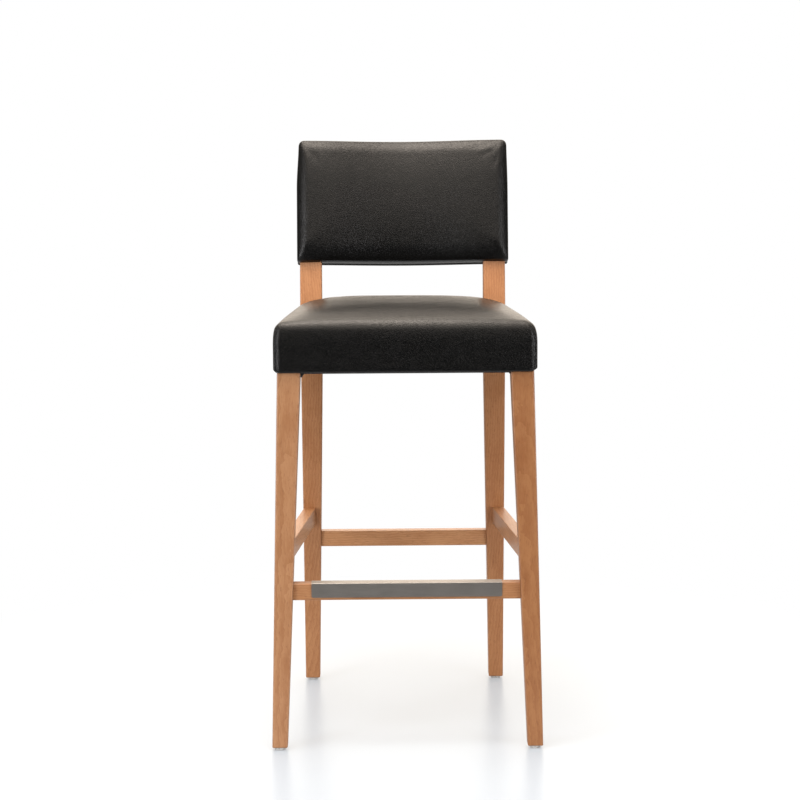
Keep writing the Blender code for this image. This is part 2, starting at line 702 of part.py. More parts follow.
def make_seat_rails(shop, legs, spaces):
    """Four rails of the seat frame, with a tenon at each end."""
    z_range = (RAIL_BOTTOM, RAIL_TOP)
    front_y = (RAIL_FRONT, RAIL_FRONT + RAIL_THICKNESS)
    rear_y = (RAIL_REAR - RAIL_THICKNESS, RAIL_REAR)
    rails = [make_cross_beam(shop, "seat_rail_" + row, legs, spaces, row, y_range, z_range, STRETCHER_EDGE)
             for row, y_range in (("front", front_y), ("rear", rear_y))]
    outer_sizes = (RAIL_SIDE.at(front_back(RAIL_MIDDLE)), RAIL_SIDE.at(rear_front(RAIL_MIDDLE)))
    for side, label in SIDES:
        rails.append(make_side_beam(shop, "seat_rail_" + label, side, legs, spaces, outer_sizes,
                                    RAIL_THICKNESS, z_range, STRETCHER_EDGE))
    return rails


def make_corner_blocks(shop, legs, spaces):
    """Block in each inner corner of the seat frame, with the screw that draws it to the leg."""
    z_range = (RAIL_BOTTOM + CORNER_BLOCK_MARGIN, RAIL_TOP - CORNER_BLOCK_MARGIN)
    limit = CORNER_BLOCK_REACH + CORNER_BLOCK_END
    blocks = []
    places = {}
    walls = (("front", RAIL_FRONT + RAIL_THICKNESS, 1), ("rear", RAIL_REAR - RAIL_THICKNESS, -1))
    for row, wall, inward in walls:
        for side, label in SIDES:
            ends = sorted((wall + inward * CLEARANCE, wall + inward * CORNER_BLOCK_REACH))
            inner_wall = Slope(0, RAIL_SIDE.at(0) - RAIL_THICKNESS - CLEARANCE,
                               wall, RAIL_SIDE.at(wall) - RAIL_THICKNESS - CLEARANCE)
            shape = slanted_box(side, inner_wall, CORNER_BLOCK_REACH, ends, z_range)
            corner = Vector((side * inner_wall.at(wall), wall, RAIL_MIDDLE))
            outward = Vector((-side, inward, 0)).normalized()
            face = corner + outward * (limit / math.sqrt(2))
            everything = shape.verts[:] + shape.edges[:] + shape.faces[:]
            bmesh.ops.bisect_plane(shape, geom=everything, plane_co=face, plane_no=outward,
                                   clear_outer=True)
            bmesh.ops.holes_fill(shape, edges=shape.edges[:])
            bmesh.ops.recalc_face_normals(shape, faces=shape.faces[:])
            made = shop.piece("corner_block_" + row + "_" + label, shape, "raw timber")
            combine(made, [spaces[row, "piece", side]])
            blocks.append(made)
            places["corner_screw_" + row + "_" + label] = pointing(face, outward)
    drive_screws(shop, places, (CORNER_SCREW_HEAD, CORNER_SCREW_SHANK, CORNER_SCREW_LENGTH), "zinc",
                 (*blocks, *legs.values()))


def seat_block(z_range, grow=0):
    """Block with the outline of the seat frame, wider all round where it is grown."""
    def place(u, v, w):
        y = between(RAIL_FRONT - grow, RAIL_REAR + grow, v)
        return Vector((u * (RAIL_SIDE.at(y) + grow), y, between(*z_range, w)))
    return block(place)


def make_seat_board(shop, rails, spaces):
    """Board on the rails, with vent holes and the screws that hold it down."""
    board = shop.piece("seat_board", seat_block((BOARD_BOTTOM, BOARD_TOP)), "raw timber")
    middle = (RAIL_FRONT + RAIL_REAR) / 2
    vents = [Matrix.Translation((BOARD_VENT_SPREAD * column, middle + BOARD_VENT_SPREAD * row, BOARD_TOP))
             for column, row in ((0, 0), (-1, -1), (-1, 1), (1, -1), (1, 1))]
    vent = rod_shape(BOARD_VENT_RADIUS, 2 * (BOARD_THICKNESS + OVERRUN))
    combine(board, [*leg_spaces(spaces, "notch"), shop.cutter("vents", repeated(vent, vents))])
    places = {}
    for row, step in (("front", -1), ("rear", 1)):
        y = middle + step * BOARD_SCREW_SHARE * (RAIL_REAR - RAIL_FRONT) / 2
        for side, label in SIDES:
            x = side * (RAIL_SIDE.at(y) - RAIL_THICKNESS / 2)
            places["seat_board_screw_" + row + "_" + label] = pointing((x, y, BOARD_TOP), (0, 0, 1))
    drive_screws(shop, places, (BOARD_SCREW_HEAD, BOARD_SCREW_SHANK, BOARD_SCREW_LENGTH), "zinc",
                 (board, *rails))


def make_seat_upholstery(shop, spaces):
    """Foam over the board and down the rails, and the leather that is drawn over it and under the rails."""
    foam = shop.piece("seat_foam", seat_shape(LEATHER + CLEARANCE), "foam")
    shade_round(foam)
    room = seat_block((SEAT_UNDERSIDE - OVERRUN, BOARD_TOP + CLEARANCE), CLEARANCE)
    frame_room = shop.cutter("seat frame room", room)
    wide = SEAT_SIDE.at(SEAT_FRONT) + OVERRUN
    hem = shop.cutter("foam hem", box((-wide, wide), (SEAT_FRONT - OVERRUN, SEAT_REAR + OVERRUN),
                                      (SEAT_UNDERSIDE - OVERRUN, SEAT_UNDERSIDE + PAD_HEM)))
    notches = leg_spaces(spaces, "notch")
    combine(foam, [frame_room, hem, *notches])
    cover = shop.piece("seat_cover", seat_shape(0), "black leather")
    shade_round(cover)
    inside = shop.cutter("seat cover inside", seat_shape(LEATHER))

    def opening(u, v, w):
        y = between(SEAT_FRONT + SEAT_LIP, SEAT_REAR - SEAT_LIP, v)
        return Vector((u * (SEAT_SIDE.at(y) - SEAT_LIP), y, between(SEAT_UNDERSIDE - OVERRUN, RAIL_TOP, w)))
    mouth = shop.cutter("seat cover mouth", block(opening))
    combine(cover, [inside, mouth, *notches])


def make_lining(shop, spaces):
    """Thin lining that closes the seat from below."""
    top = SEAT_UNDERSIDE - CLEARANCE
    bottom = top - LINING_THICKNESS

    def sheet(u, v, w):
        y = between(SEAT_FRONT + LINING_HEM, SEAT_REAR - LINING_HEM, v)
        return Vector((u * (SEAT_SIDE.at(y) - LINING_HEM), y, between(bottom, top, w)))
    lining = shop.piece("seat_lining", block(sheet), "black lining")
    combine(lining, leg_spaces(spaces, "notch"))


def make_back(shop, legs, spaces):
    """Bent rails and board between the posts, the foam and leather round them, and the outside back."""
    span = POST_INNER - CLEARANCE
    behind_board = BACK_STAND_OFF + BACK_BOARD_THICKNESS + CLEARANCE
    post_back = BACK_STAND_OFF + POST_DEPTH
    top = BACK_HEIGHT - BACK_END_PAD
    levels = {
        "back_rail_top": (top - BACK_RAIL_HEIGHT, top),
        "back_rail_bottom": (BACK_END_PAD, BACK_END_PAD + BACK_RAIL_HEIGHT),
    }
    for name, z_range in levels.items():
        rail = shop.piece(name, bent_box(span, (behind_board, post_back), z_range), "beech")
        for side, label in SIDES:
            def shape_at(grow, side=side, z_range=z_range):
                trim = TENON_SHOULDER - grow
                across = mirrored_range(side, POST_INNER - OVERRUN, POST_INNER + TENON_LENGTH + grow)
                depth = (behind_board + bend(POST_INNER) + trim, post_back + bend(POST_INNER) - trim)
                heights = (z_range[0] + trim, z_range[1] - trim)
                return block(lambda u, v, w: leaning_point(between(*across, u), between(*depth, v),
                                                           between(*heights, w)))
            join_by_tenon(shop, rail, legs["rear", side], name + " " + label, shape_at)
    board_depth = (BACK_STAND_OFF, BACK_STAND_OFF + BACK_BOARD_THICKNESS)
    shop.piece("back_board", bent_box(span, board_depth, (BACK_END_PAD, top)), "raw timber")

    posts = [spaces["rear", "piece", side] for side, label in SIDES]
    opening_half = BACK_HALF_WIDTH - BACK_MARGIN
    hollow = bent_box(opening_half, (post_back, BACK_THICKNESS + OVERRUN),
                      (BACK_MARGIN, BACK_HEIGHT - BACK_MARGIN))
    opening = shop.cutter("outside back opening", hollow)
    panel_heights = (BACK_MARGIN + CLEARANCE, BACK_HEIGHT - BACK_MARGIN - CLEARANCE)
    shop.piece("outside_back", bent_box(opening_half - CLEARANCE, (post_back + CLEARANCE, BACK_THICKNESS),
                                        panel_heights), "black leather")
    foam = shop.piece("back_foam", back_shape(LEATHER + CLEARANCE), "foam")
    shade_round(foam)
    room_depth = (BACK_STAND_OFF - 2 * CLEARANCE, BACK_THICKNESS + OVERRUN)
    room = bent_box(REAR_HALF_SPREAD + 2 * CLEARANCE, room_depth, (-OVERRUN, top + CLEARANCE))
    combine(foam, [shop.cutter("back frame room", room), opening, *posts])
    cover = shop.piece("back_cover", back_shape(0), "black leather")
    shade_round(cover)
    inside = shop.cutter("back cover inside", back_shape(LEATHER))
    combine(cover, [inside, opening, *posts])


def build():
    """Make the whole stool."""
    clear_scene()
    shop = Workshop("bar_stool")
    legs, spaces = make_legs(shop)
    make_stretchers(shop, legs, spaces)
    make_glides(shop, legs)
    rails = make_seat_rails(shop, legs, spaces)
    make_corner_blocks(shop, legs, spaces)
    make_seat_board(shop, rails, spaces)
    make_seat_upholstery(shop, spaces)
    make_lining(shop, spaces)
    make_back(shop, legs, spaces)


build()
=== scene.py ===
"""Looks of an upholstered bar stool with a low back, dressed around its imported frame."""
import logging
import math
from collections.abc import Callable, Iterable, Sequence
from dataclasses import dataclass
from enum import Enum
from functools import partial, reduce

import bmesh
import bpy
from mathutils import Euler, Matrix, Vector, noise
from mathutils.bvhtree import BVHTree
from mathutils.interpolate import poly_3d_calc


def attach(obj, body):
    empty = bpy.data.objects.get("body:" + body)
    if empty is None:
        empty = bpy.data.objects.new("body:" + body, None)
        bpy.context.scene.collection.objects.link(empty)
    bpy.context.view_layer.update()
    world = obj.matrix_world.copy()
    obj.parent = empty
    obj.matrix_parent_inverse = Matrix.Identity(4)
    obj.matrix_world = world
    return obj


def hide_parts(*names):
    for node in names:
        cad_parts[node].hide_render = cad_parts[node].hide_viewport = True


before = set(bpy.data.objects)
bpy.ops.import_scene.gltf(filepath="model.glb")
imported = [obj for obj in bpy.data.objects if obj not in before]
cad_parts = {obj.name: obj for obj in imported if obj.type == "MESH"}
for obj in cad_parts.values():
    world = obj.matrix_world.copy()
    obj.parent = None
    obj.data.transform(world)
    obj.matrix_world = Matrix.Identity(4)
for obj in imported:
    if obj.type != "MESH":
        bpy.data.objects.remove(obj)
log = logging.getLogger("stool")

BODY = "root"
SIDES = {"left": -1, "right": 1}
CLEARANCE = 0.0003
GIVE = 0.97
WHITE = (1, 1, 1, 1)

BMesh = bmesh.types.BMesh
Edge = bmesh.types.BMEdge
Socket = bpy.types.NodeSocket
Pair = tuple[float, float]
Point = tuple[float, float, float]
Colour = tuple[float, float, float]
Place = Callable[[Vector], Vector]


# Shared helpers


def eased(value: float, start: float, end: float) -> float:
    """Smooth step from 0 at start to 1 at end."""
    share = min(max((value - start) / (end - start), 0), 1)
    return share * share * (3 - 2 * share)


def hump(distance: float, width: float) -> float:
    """Bell curve of a distance, 1 at its middle."""
    return math.exp(-(distance / width) ** 2)


def mixed(low: float, high: float, share: float) -> float:
    """Value between two others, by its share of the way."""
    return low + (high - low) * share


def steps(start: float, end: float, pitch: float) -> list[float]:
    """Even stops from start to end, both included, about a pitch apart."""
    count = max(round((end - start) / pitch), 1)
    return [mixed(start, end, step / count) for step in range(count + 1)]


def distance_to_path(point: Vector, path: Sequence[Vector]) -> Pair:
    """Distance of a flat point from a path, and the share of the path where it is nearest.

    Args:
        point: The point, in two dimensions.
        path: The corners of the path.

    Returns:
        The distance, and the share from 0 at the first corner to 1 at the last.
    """
    best = (math.inf, 0.0)
    for index, (start, end) in enumerate(zip(path, path[1:])):
        run = end - start
        share = min(max((point - start).dot(run) / run.length_squared, 0), 1)
        gap = (point - start - run * share).length
        if gap < best[0]:
            best = (gap, (index + share) / (len(path) - 1))
    return best


@dataclass(frozen=True)
class Fold:
    """Soft crease in leather along a flat path, which fades at both ends."""

    path: tuple[Pair, ...]
    width: float
    depth: float
    full_from: float = 0.25
    full_to: float = 0.6

    def sink(self, across: float, along: float) -> float:
        """How far the leather sinks at a flat place.

        Args:
            across: The place across the leather.
            along: The place along or up it.

        Returns:
            The depth there.
        """
        gap, share = distance_to_path(Vector((across, along)), [Vector(c) for c in self.path])
        fade = eased(share, 0, self.full_from) * (1 - eased(share, self.full_to, 1))
        return self.depth * hump(gap, self.width) * fade


def placed(name: str, data: bpy.types.ID) -> bpy.types.Object:
    """New object in the scene, at the origin.

    Args:
        name: The object's name.
        data: What it holds.

    Returns:
        The object.
    """
    made = bpy.data.objects.new(name, data)
    bpy.context.scene.collection.objects.link(made)
    return made


def mesh_of(name: str, bm: BMesh) -> bpy.types.Mesh:
    """Mesh of a shape.

    Args:
        name: The mesh's name.
        bm: The shape, which is freed.

    Returns:
        The mesh.
    """
    mesh = bpy.data.meshes.new(name)
    bm.to_mesh(mesh)
    bm.free()
    return mesh


def new_piece(name: str, bm: BMesh, material: bpy.types.Material,
              crease: float = math.radians(32)) -> bpy.types.Object:
    """Makes a finished piece, smooth but for its sharp edges, and lets it ride on the stool.

    Args:
        name: The piece's name.
        bm: Its shape, which is freed.
        material: Its material.
        crease: The angle past which an edge stays sharp.

    Returns:
        The piece.
    """
    mesh = mesh_of(name, bm)
    mesh.polygons.foreach_set("use_smooth", [True] * len(mesh.polygons))
    mesh.set_sharp_from_angle(angle=crease)
    mesh.materials.append(material)
    piece = placed(name, mesh)
    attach(piece, BODY)
    return piece


def box_between(low: Sequence[float], high: Sequence[float]) -> BMesh:
    """Plain box.

    Args:
        low: Its lowest corner.
        high: Its highest corner.

    Returns:
        The shape.
    """
    bm = bmesh.new()
    bmesh.ops.create_cube(bm, size=1)
    size = [b - a for a, b in zip(low, high)]
    middle = [(a + b) / 2 for a, b in zip(low, high)]
    bmesh.ops.scale(bm, vec=size, verts=bm.verts)
    bmesh.ops.translate(bm, vec=middle, verts=bm.verts)
    return bm


def rounded(bm: BMesh, radius: float, segments: int, chosen: Callable[[Edge], bool]) -> None:
    """Rounds the chosen edges."""
    bmesh.ops.bevel(bm, geom=[edge for edge in bm.edges if chosen(edge)], offset=radius,
                    segments=segments, affect="EDGES", profile=0.5, material=-1)


def runs_along(axis: int, edge: Edge) -> bool:
    """Whether an edge runs along an axis."""
    span = edge.verts[0].co - edge.verts[1].co
    return abs(span[axis]) > 0.9 * span.length


def edges_round(normal: Sequence[float]) -> Callable[[Edge], bool]:
    """Test for the edges that bound the flat face that looks along a normal."""
    facing = Vector(normal)
    return lambda edge: sum(face.normal.dot(facing) > 0.999 for face in edge.link_faces) == 1


def cut_at(bm: BMesh, axis: int, stops: Iterable[float]) -> None:
    """Cuts a shape across an axis, so that it can bend there.

    Args:
        bm: The shape.
        axis: The axis, by its number.
        stops: The places of the cuts along the axis.
    """
    normal = Vector([part == axis for part in range(3)])
    for stop in stops:
        bmesh.ops.bisect_plane(bm, geom=[*bm.verts, *bm.edges, *bm.faces], dist=1e-6,
                               plane_co=normal * stop, plane_no=normal)


def moved(bm: BMesh, place: Place) -> BMesh:
    """Moves every vertex of a shape.

    Args:
        bm: The shape.
        place: Rule that gives a vertex its new place.

    Returns:
        The same shape.
    """
    for vertex in bm.verts:
        vertex.co = place(vertex.co)
    return bm


def joined(shapes: Iterable[BMesh]) -> BMesh:
    """Loose parts in one shape.

    Args:
        shapes: The parts, which are freed.

    Returns:
        The shape that holds them all.
    """
    bm = bmesh.new()
    for shape in shapes:
        mesh = mesh_of("part", shape)
        bm.from_mesh(mesh)
        bpy.data.meshes.remove(mesh)
    return bm


def evaluated(carrier: bpy.types.Object) -> BMesh:
    """Shape of an object after its modifiers.

    Args:
        carrier: The object, which stays as it is.

    Returns:
        The shape.
    """
    solved = carrier.evaluated_get(bpy.context.evaluated_depsgraph_get())
    bm = bmesh.new()
    bm.from_mesh(solved.to_mesh())
    solved.to_mesh_clear()
    return bm


def refined(bm: BMesh) -> BMesh:
    """Shape after one level of subdivision.

    Args:
        bm: The shape, which is freed.

    Returns:
        The finer shape.
    """
    carrier = placed("refined", mesh_of("refined", bm))
    smoothing = carrier.modifiers.new("smoothing", "SUBSURF")
    smoothing.levels = smoothing.render_levels = 1
    made = evaluated(carrier)
    bpy.data.objects.remove(carrier)
    return made


def cut_away(bm: BMesh, cutters: Sequence[BMesh]) -> BMesh:
    """Takes the cutters' room out of a closed shape.

    Args:
        bm: The shape, which is freed.
        cutters: The closed shapes to take out, which are freed.

    Returns:
        The shape that is left.
    """
    carriers = []
    for shape in (bm, *cutters):
        bmesh.ops.recalc_face_normals(shape, faces=shape.faces)
        carriers.append(placed("cutting", mesh_of("cutting", shape)))
    for cutter in carriers[1:]:
        taking = carriers[0].modifiers.new("taking", "BOOLEAN")
        taking.operation = "DIFFERENCE"
        taking.solver = "EXACT"
        taking.object = cutter
    made = evaluated(carriers[0])
    for carrier in carriers:
        bpy.data.objects.remove(carrier)
    return made


class Solids:
    """Faces of the frame's solids, found by rays."""

    def __init__(self) -> None:
        """Starts with no solid looked at."""
        self.trees: dict[str, BVHTree] = {}

    def hit(self, node: str, start: Sequence[float], towards: Sequence[float]) -> Vector:
        """First point of a solid's surface on a ray.

        Args:
            node: The solid's name.
            start: Where the ray starts.
            towards: The ray's direction.

        Returns:
            The point.
        """
        if node not in self.trees:
            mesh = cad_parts[node].data
            self.trees[node] = BVHTree.FromPolygons([v.co for v in mesh.vertices],
                                                    [p.vertices for p in mesh.polygons])
        return self.trees[node].ray_cast(Vector(start), Vector(towards))[0]

    def corner(self, node: str, sign: int, inside: Pair, reach: float, point: Vector) -> Vector:
        """Corner of the room round a leg at a height, from a corner of a box two wide.

        Args:
            node: The leg's name.
            sign: Its side, -1 on the left and 1 on the right.
            inside: A flat place inside the leg on the right.
            reach: How far outside that place the rays start.
            point: The corner of the box, at the height.

        Returns:
            The corner, which keeps the clearance from the leg.
        """
        x, y = sign * inside[0], inside[1]
        out = sign * point.x
        across = self.hit(node, (x + out * reach, y, point.z), (-out, 0, 0))
        along = self.hit(node, (x, y + point.y * reach, point.z), (0, -point.y, 0))
        return Vector((across.x + out * CLEARANCE, along.y + point.y * CLEARANCE, point.z))


@dataclass(frozen=True)
class Filling:
    """Push of the foam under the leather, from a cloth simulation on an even copy of the pad."""

    cap: float
    voxel: float = 0.005
    pressure: float = 4
    frames: int = 20
    mass: float = 0.3
    quality: int = 5

    def swell(self, bm: BMesh, held: Callable[[Vector], float]) -> None:
        """Moves a pad's vertices as the pressed leather moves.

        Args:
            bm: The pad.
            held: Rule that says how firmly the leather is held at a point, from 0 to 1.
        """
        scene = bpy.context.scene
        pad = placed("swelling", mesh_of("swelling", bm.copy()))
        remesh = pad.modifiers.new("even", "REMESH")
        remesh.mode = "VOXEL"
        remesh.voxel_size = self.voxel
        solved = pad.evaluated_get(bpy.context.evaluated_depsgraph_get())
        even = bpy.data.meshes.new_from_object(solved)
        pad.modifiers.clear()
        pad.data = even
        rest = [vertex.co.copy() for vertex in even.vertices]
        group = pad.vertex_groups.new(name="held")
        for vertex in even.vertices:
            group.add([vertex.index], held(vertex.co), "REPLACE")
        cloth = pad.modifiers.new("cloth", "CLOTH")
        cloth.settings.quality = self.quality
        cloth.settings.mass = self.mass
        cloth.settings.use_pressure = True
        cloth.settings.uniform_pressure_force = self.pressure
        cloth.settings.vertex_group_mass = "held"
        cloth.settings.effector_weights.gravity = 0
        cloth.point_cache.frame_start = 1
        cloth.point_cache.frame_end = self.frames
        for step in range(1, self.frames + 1):
            scene.frame_set(step)
        solved = pad.evaluated_get(bpy.context.evaluated_depsgraph_get()).to_mesh()
        moves = [vertex.co - start for vertex, start in zip(solved.vertices, rest)]
        moves = [move * min(1, self.cap / max(move.length, 1e-9)) for move in moves]
        faces = [tuple(polygon.vertices) for polygon in even.polygons]
        tree = BVHTree.FromPolygons(rest, faces)
        for vertex in bm.verts:
            place, _, index, _ = tree.find_nearest(vertex.co)
            corners = faces[index]
            shares = poly_3d_calc([rest[corner] for corner in corners], place)
            vertex.co += sum((moves[c] * share for c, share in zip(corners, shares)), Vector())
        bpy.data.objects.remove(pad)
        scene.frame_set(1)


# Finishes


class Nodes:
    """Node tree, with short calls that add nodes to it."""

    def __init__(self, tree: bpy.types.NodeTree) -> None:
        """Starts on a tree."""
        self.tree = tree

    def node(self, kind: str, inputs: dict[str | int, object],
             **settings: object) -> bpy.types.Node:
        """Adds a node.

        Args:
            kind: The node's type, after the word ShaderNode.
            inputs: A value or a socket for each input, by its name or number.
            settings: The node's own settings.

        Returns:
            The node.
        """
        made = self.tree.nodes.new("ShaderNode" + kind)
        for setting, value in settings.items():
            setattr(made, setting, value)
        for key, value in inputs.items():
            if isinstance(value, Socket):
                self.tree.links.new(value, made.inputs[key])
            else:
                made.inputs[key].default_value = value
        return made

    def spread(self, value: Socket, low: float, high: float, start: float = 0,
               end: float = 1) -> Socket:
        """A value moved smoothly from the range low to high into the range start to end."""
        return self.node("MapRange", {"Value": value, "From Min": low, "From Max": high,
                                      "To Min": start, "To Max": end},
                         interpolation_type="SMOOTHSTEP").outputs["Result"]

    def maths(self, operation: str, first: Socket | float, second: Socket | float) -> Socket:
        """Two numbers put together by an operation."""
        return self.node("Math", {0: first, 1: second}, operation=operation).outputs["Value"]

    def total(self, *parts: tuple[Socket, float]) -> Socket:
        """Sum of values, each times its weight."""
        return reduce(partial(self.maths, "ADD"), [self.maths("MULTIPLY", *part) for part in parts])

    def vectors(self, operation: str, first: Socket | Point, second: Socket | Point,
                third: Socket | Point = (0, 0, 0)) -> bpy.types.Node:
        """Two or three vectors put together by an operation."""
        return self.node("VectorMath", {0: first, 1: second, 2: third}, operation=operation)

    def blended(self, share: Socket, first: Socket | Colour, second: Socket | Colour) -> Socket:
        """Colour between two others.

        Args:
            share: The share of the second one.
            first: The colour at a share of 0.
            second: The colour at a share of 1.

        Returns:
            The socket that gives the colour.
        """
        colours = [(*c, 1) if isinstance(c, tuple) else c for c in (first, second)]
        inputs = {0: share, 6: colours[0], 7: colours[1]}
        return self.node("Mix", inputs, data_type="RGBA").outputs[2]


class Pattern(Nodes):
    """Node tree of one material, around its shader."""

    def __init__(self, name: str, **surface: float | Colour) -> None:
        """Starts a material whose shader has the given settings on its own sockets.

        Args:
            name: The material's name.
            surface: Shader settings, with underscores for the spaces in their names.
        """
        self.material = bpy.data.materials.new(name)
        self.material.use_nodes = True
        super().__init__(self.material.node_tree)
        self.shader = self.tree.nodes["Principled BSDF"]
        for setting, value in surface.items():
            socket = self.shader.inputs[setting.replace("_", " ")]
            socket.default_value = (*value, 1) if isinstance(value, tuple) else value

    def places(self, turn: Point = (0, 0, 0), shift: Point = (0, 0, 0),
               scale: Point = (1, 1, 1)) -> Socket:
        """Object coordinates, turned, shifted and scaled in that order.

        Args:
            turn: The turn about each axis, in radians.
            shift: The shift after the turn, in metres.
            scale: The scale after the shift.

        Returns:
            The socket that gives the coordinates.
        """
        start = self.node("TexCoord", {}).outputs["Object"]
        turned = self.node("Mapping", {"Vector": start, "Rotation": turn, "Location": shift})
        drawn = self.node("Mapping", {"Vector": turned.outputs["Vector"], "Scale": scale})
        return drawn.outputs["Vector"]

    def speckle(self, places: Socket, scale: float, detail: float = 3,
                roughness: float = 0.55) -> Socket:
        """Cloudy noise from 0 to 1 at a scale in turns to the metre."""
        return self.node("TexNoise", {"Vector": places, "Scale": scale, "Detail": detail,
                                      "Roughness": roughness}).outputs["Fac"]

    def feed(self, **sockets: Socket) -> None:
        """Links sockets to the shader's inputs, with underscores for the spaces in their names."""
        for setting, socket in sockets.items():
            self.tree.links.new(socket, self.shader.inputs[setting.replace("_", " ")])

    def emboss(self, height: Socket, depth: float) -> None:
        """Raises the surface by a height pattern, up to a depth in metres."""
        raised = self.node("Bump", {"Height": height, "Distance": depth, "Strength": 1})
        self.feed(Normal=raised.outputs["Normal"])


class Grain(Enum):
    """Way that the fibres of a wooden piece run, as the turn that brings it upright."""

    UPRIGHT = (0, 0, 0)
    ACROSS = (0, math.pi / 2, 0)
    LENGTHWISE = (math.pi / 2, 0, 0)


@dataclass(frozen=True)
class BeechFinish:
    """Stained and lacquered beech, with growth rings, fibres and short dark flecks."""

    name: str
    grain: Grain
    heart: Point
    slant: Pair
    # Scale of this board's colour: partly its own stain, partly painted light and shade for how the
    # light falls on the piece.
    tone: Colour
    light: Colour = (0.480, 0.222, 0.096)
    deep: Colour = (0.365, 0.146, 0.054)
    fleck: Colour = (0.230, 0.082, 0.030)
    ring_scale: float = 66
    wander: float = 7
    fibre_scale: float = 700
    band_scale: float = 90
    cloud_scale: float = 30
    fleck_scale: float = 620
    fleck_share: float = 0.50
    lacquer: float = 0.15
    relief: float = 0.00012

    def toned_and_lit(self, colour: Colour) -> Colour:
        """Colour of the stain on this board, scaled by its tone, which holds painted light and
        shade as well as the stain.
        """
        return tuple(part * tone for part, tone in zip(colour, self.tone))

    def material(self) -> bpy.types.Material:
        """Material whose rings lie round the heart and whose fibres follow the grain.

        Returns:
            The material.
        """
        pattern = Pattern(self.name, Coat_Weight=self.lacquer, Coat_Roughness=0.22, IOR=1.48)
        turn = Euler(self.grain.value)
        turn.rotate_axis("X", self.slant[0])
        turn.rotate_axis("Y", self.slant[1])
        places = partial(pattern.places, turn=tuple(turn), shift=self.heart)
        rings = pattern.node("TexWave", {"Vector": places(), "Scale": self.ring_scale,
                                         "Distortion": self.wander, "Detail": 3,
                                         "Detail Scale": 0.30, "Detail Roughness": 0.65},
                             wave_type="RINGS", rings_direction="Z", wave_profile="SAW")
        drawn = places(scale=(1, 1, 0.09))
        fibres = pattern.speckle(drawn, self.fibre_scale, 4, 0.65)
        bands = pattern.speckle(drawn, self.band_scale, 2)
        clouds = pattern.speckle(places(scale=(1, 1, 0.5)), self.cloud_scale, 4, 0.6)
        flecks = pattern.speckle(places(scale=(1, 1, 0.16)), self.fleck_scale, 1)
        flecks = pattern.spread(flecks, 0.60, 0.76, 0, self.fleck_share)
        share = pattern.total((rings.outputs["Fac"], 0.22), (fibres, 0.66), (bands, 0.28),
                              (clouds, 0.55))
        wood = pattern.blended(pattern.spread(share, 0.60, 1.08), self.toned_and_lit(self.deep),
                               self.toned_and_lit(self.light))
        pattern.feed(Base_Color=pattern.blended(flecks, wood, self.toned_and_lit(self.fleck)),
                     Roughness=pattern.spread(fibres, 0.3, 0.7, 0.42, 0.52))
        pattern.emboss(pattern.maths("SUBTRACT", fibres, flecks), self.relief)
        return pattern.material


@dataclass(frozen=True)
class TimberFinish:
    """Bare timber or plywood inside the seat and the back."""

    name: str
    grain: Grain
    light: Colour = (0.640, 0.430, 0.240)
    deep: Colour = (0.430, 0.255, 0.120)
    fibre_scale: float = 260
    cloud_scale: float = 12
    plies: float = 0
    ply_share: float = 0.35
    relief: float = 0.0004

    def material(self) -> bpy.types.Material:
        """Material with sawn fibres, and with plies where it has a number to the metre.

        Returns:
            The material.
        """
        pattern = Pattern(self.name, IOR=1.45)
        drawn = pattern.places(turn=self.grain.value, scale=(1, 1, 0.05))
        fibres = pattern.speckle(drawn, self.fibre_scale, 5, 0.65)
        clouds = pattern.speckle(pattern.places(), self.cloud_scale, 2)
        share = pattern.spread(pattern.total((fibres, 1), (clouds, 0.5)), 0.5, 1.0)
        colour = pattern.blended(share, self.deep, self.light)
        if self.plies:
            layers = pattern.node("TexWave", {"Vector": pattern.places(), "Scale": self.plies,
                                              "Distortion": 0.4}, bands_direction="Z")
            layers = pattern.spread(layers.outputs["Fac"], 0.35, 0.65, 0, self.ply_share)
            colour = pattern.blended(layers, colour, self.deep)
        pattern.feed(Base_Color=colour, Roughness=pattern.spread(fibres, 0.3, 0.7, 0.62, 0.8))
        pattern.emboss(fibres, self.relief)
        return pattern.material


@dataclass(frozen=True)
class LeatherFinish:
    """Black finished leather with a fine pebbled grain and a soft gloss."""

    name: str
    dark: Colour = (0.0008, 0.0010, 0.0011)
    worn: Colour = (0.0022, 0.0024, 0.0026)
    tint: Colour = (1, 0.945, 0.89)
    gloss: float = 0.205
    pebble_scale: float = 620
    pore_scale: float = 1500
    mottle_scale: float = 260
    cloud_scale: float = 40
    swirl_scale: float = 180
    swirl: float = 0.0022
    relief: float = 0.00019

    def material(self) -> bpy.types.Material:
        """Material with pebbles, pores and a faint cloudiness of the gloss.

        Returns:
            The material.
        """
        pattern = Pattern(self.name, IOR=1.46, Specular_IOR_Level=0.37, Specular_Tint=self.tint)
        places = pattern.places()
        swirl = pattern.node("TexNoise", {"Vector": places, "Scale": self.swirl_scale,
                                          "Detail": 1}).outputs["Color"]
        bent = pattern.vectors("MULTIPLY_ADD", swirl, (self.swirl,) * 3, places)
        cells = pattern.node("TexVoronoi", {"Vector": bent.outputs["Vector"],
                                            "Scale": self.pebble_scale, "Smoothness": 0.55},
                             feature="SMOOTH_F1")
        pebbles = pattern.spread(cells.outputs["Distance"], 0.15, 0.75, 1, 0)
        pores = pattern.speckle(places, self.pore_scale, 2)
        mottle = pattern.speckle(places, self.mottle_scale, 2)
        clouds = pattern.speckle(places, self.cloud_scale)
        share = pattern.total((pebbles, 0.35), (mottle, 0.9), (clouds, 0.4))
        gloss = pattern.total((mottle, 0.16), (clouds, 0.10))
        height = pattern.total((pebbles, 1), (pores, 0.25), (mottle, 0.8), (clouds, 2.2))
        pattern.feed(Base_Color=pattern.blended(pattern.spread(share, 0.6, 1.15), self.dark,
                                                self.worn),
                     Roughness=pattern.maths("ADD", gloss, self.gloss))
        pattern.emboss(height, self.relief)
        return pattern.material


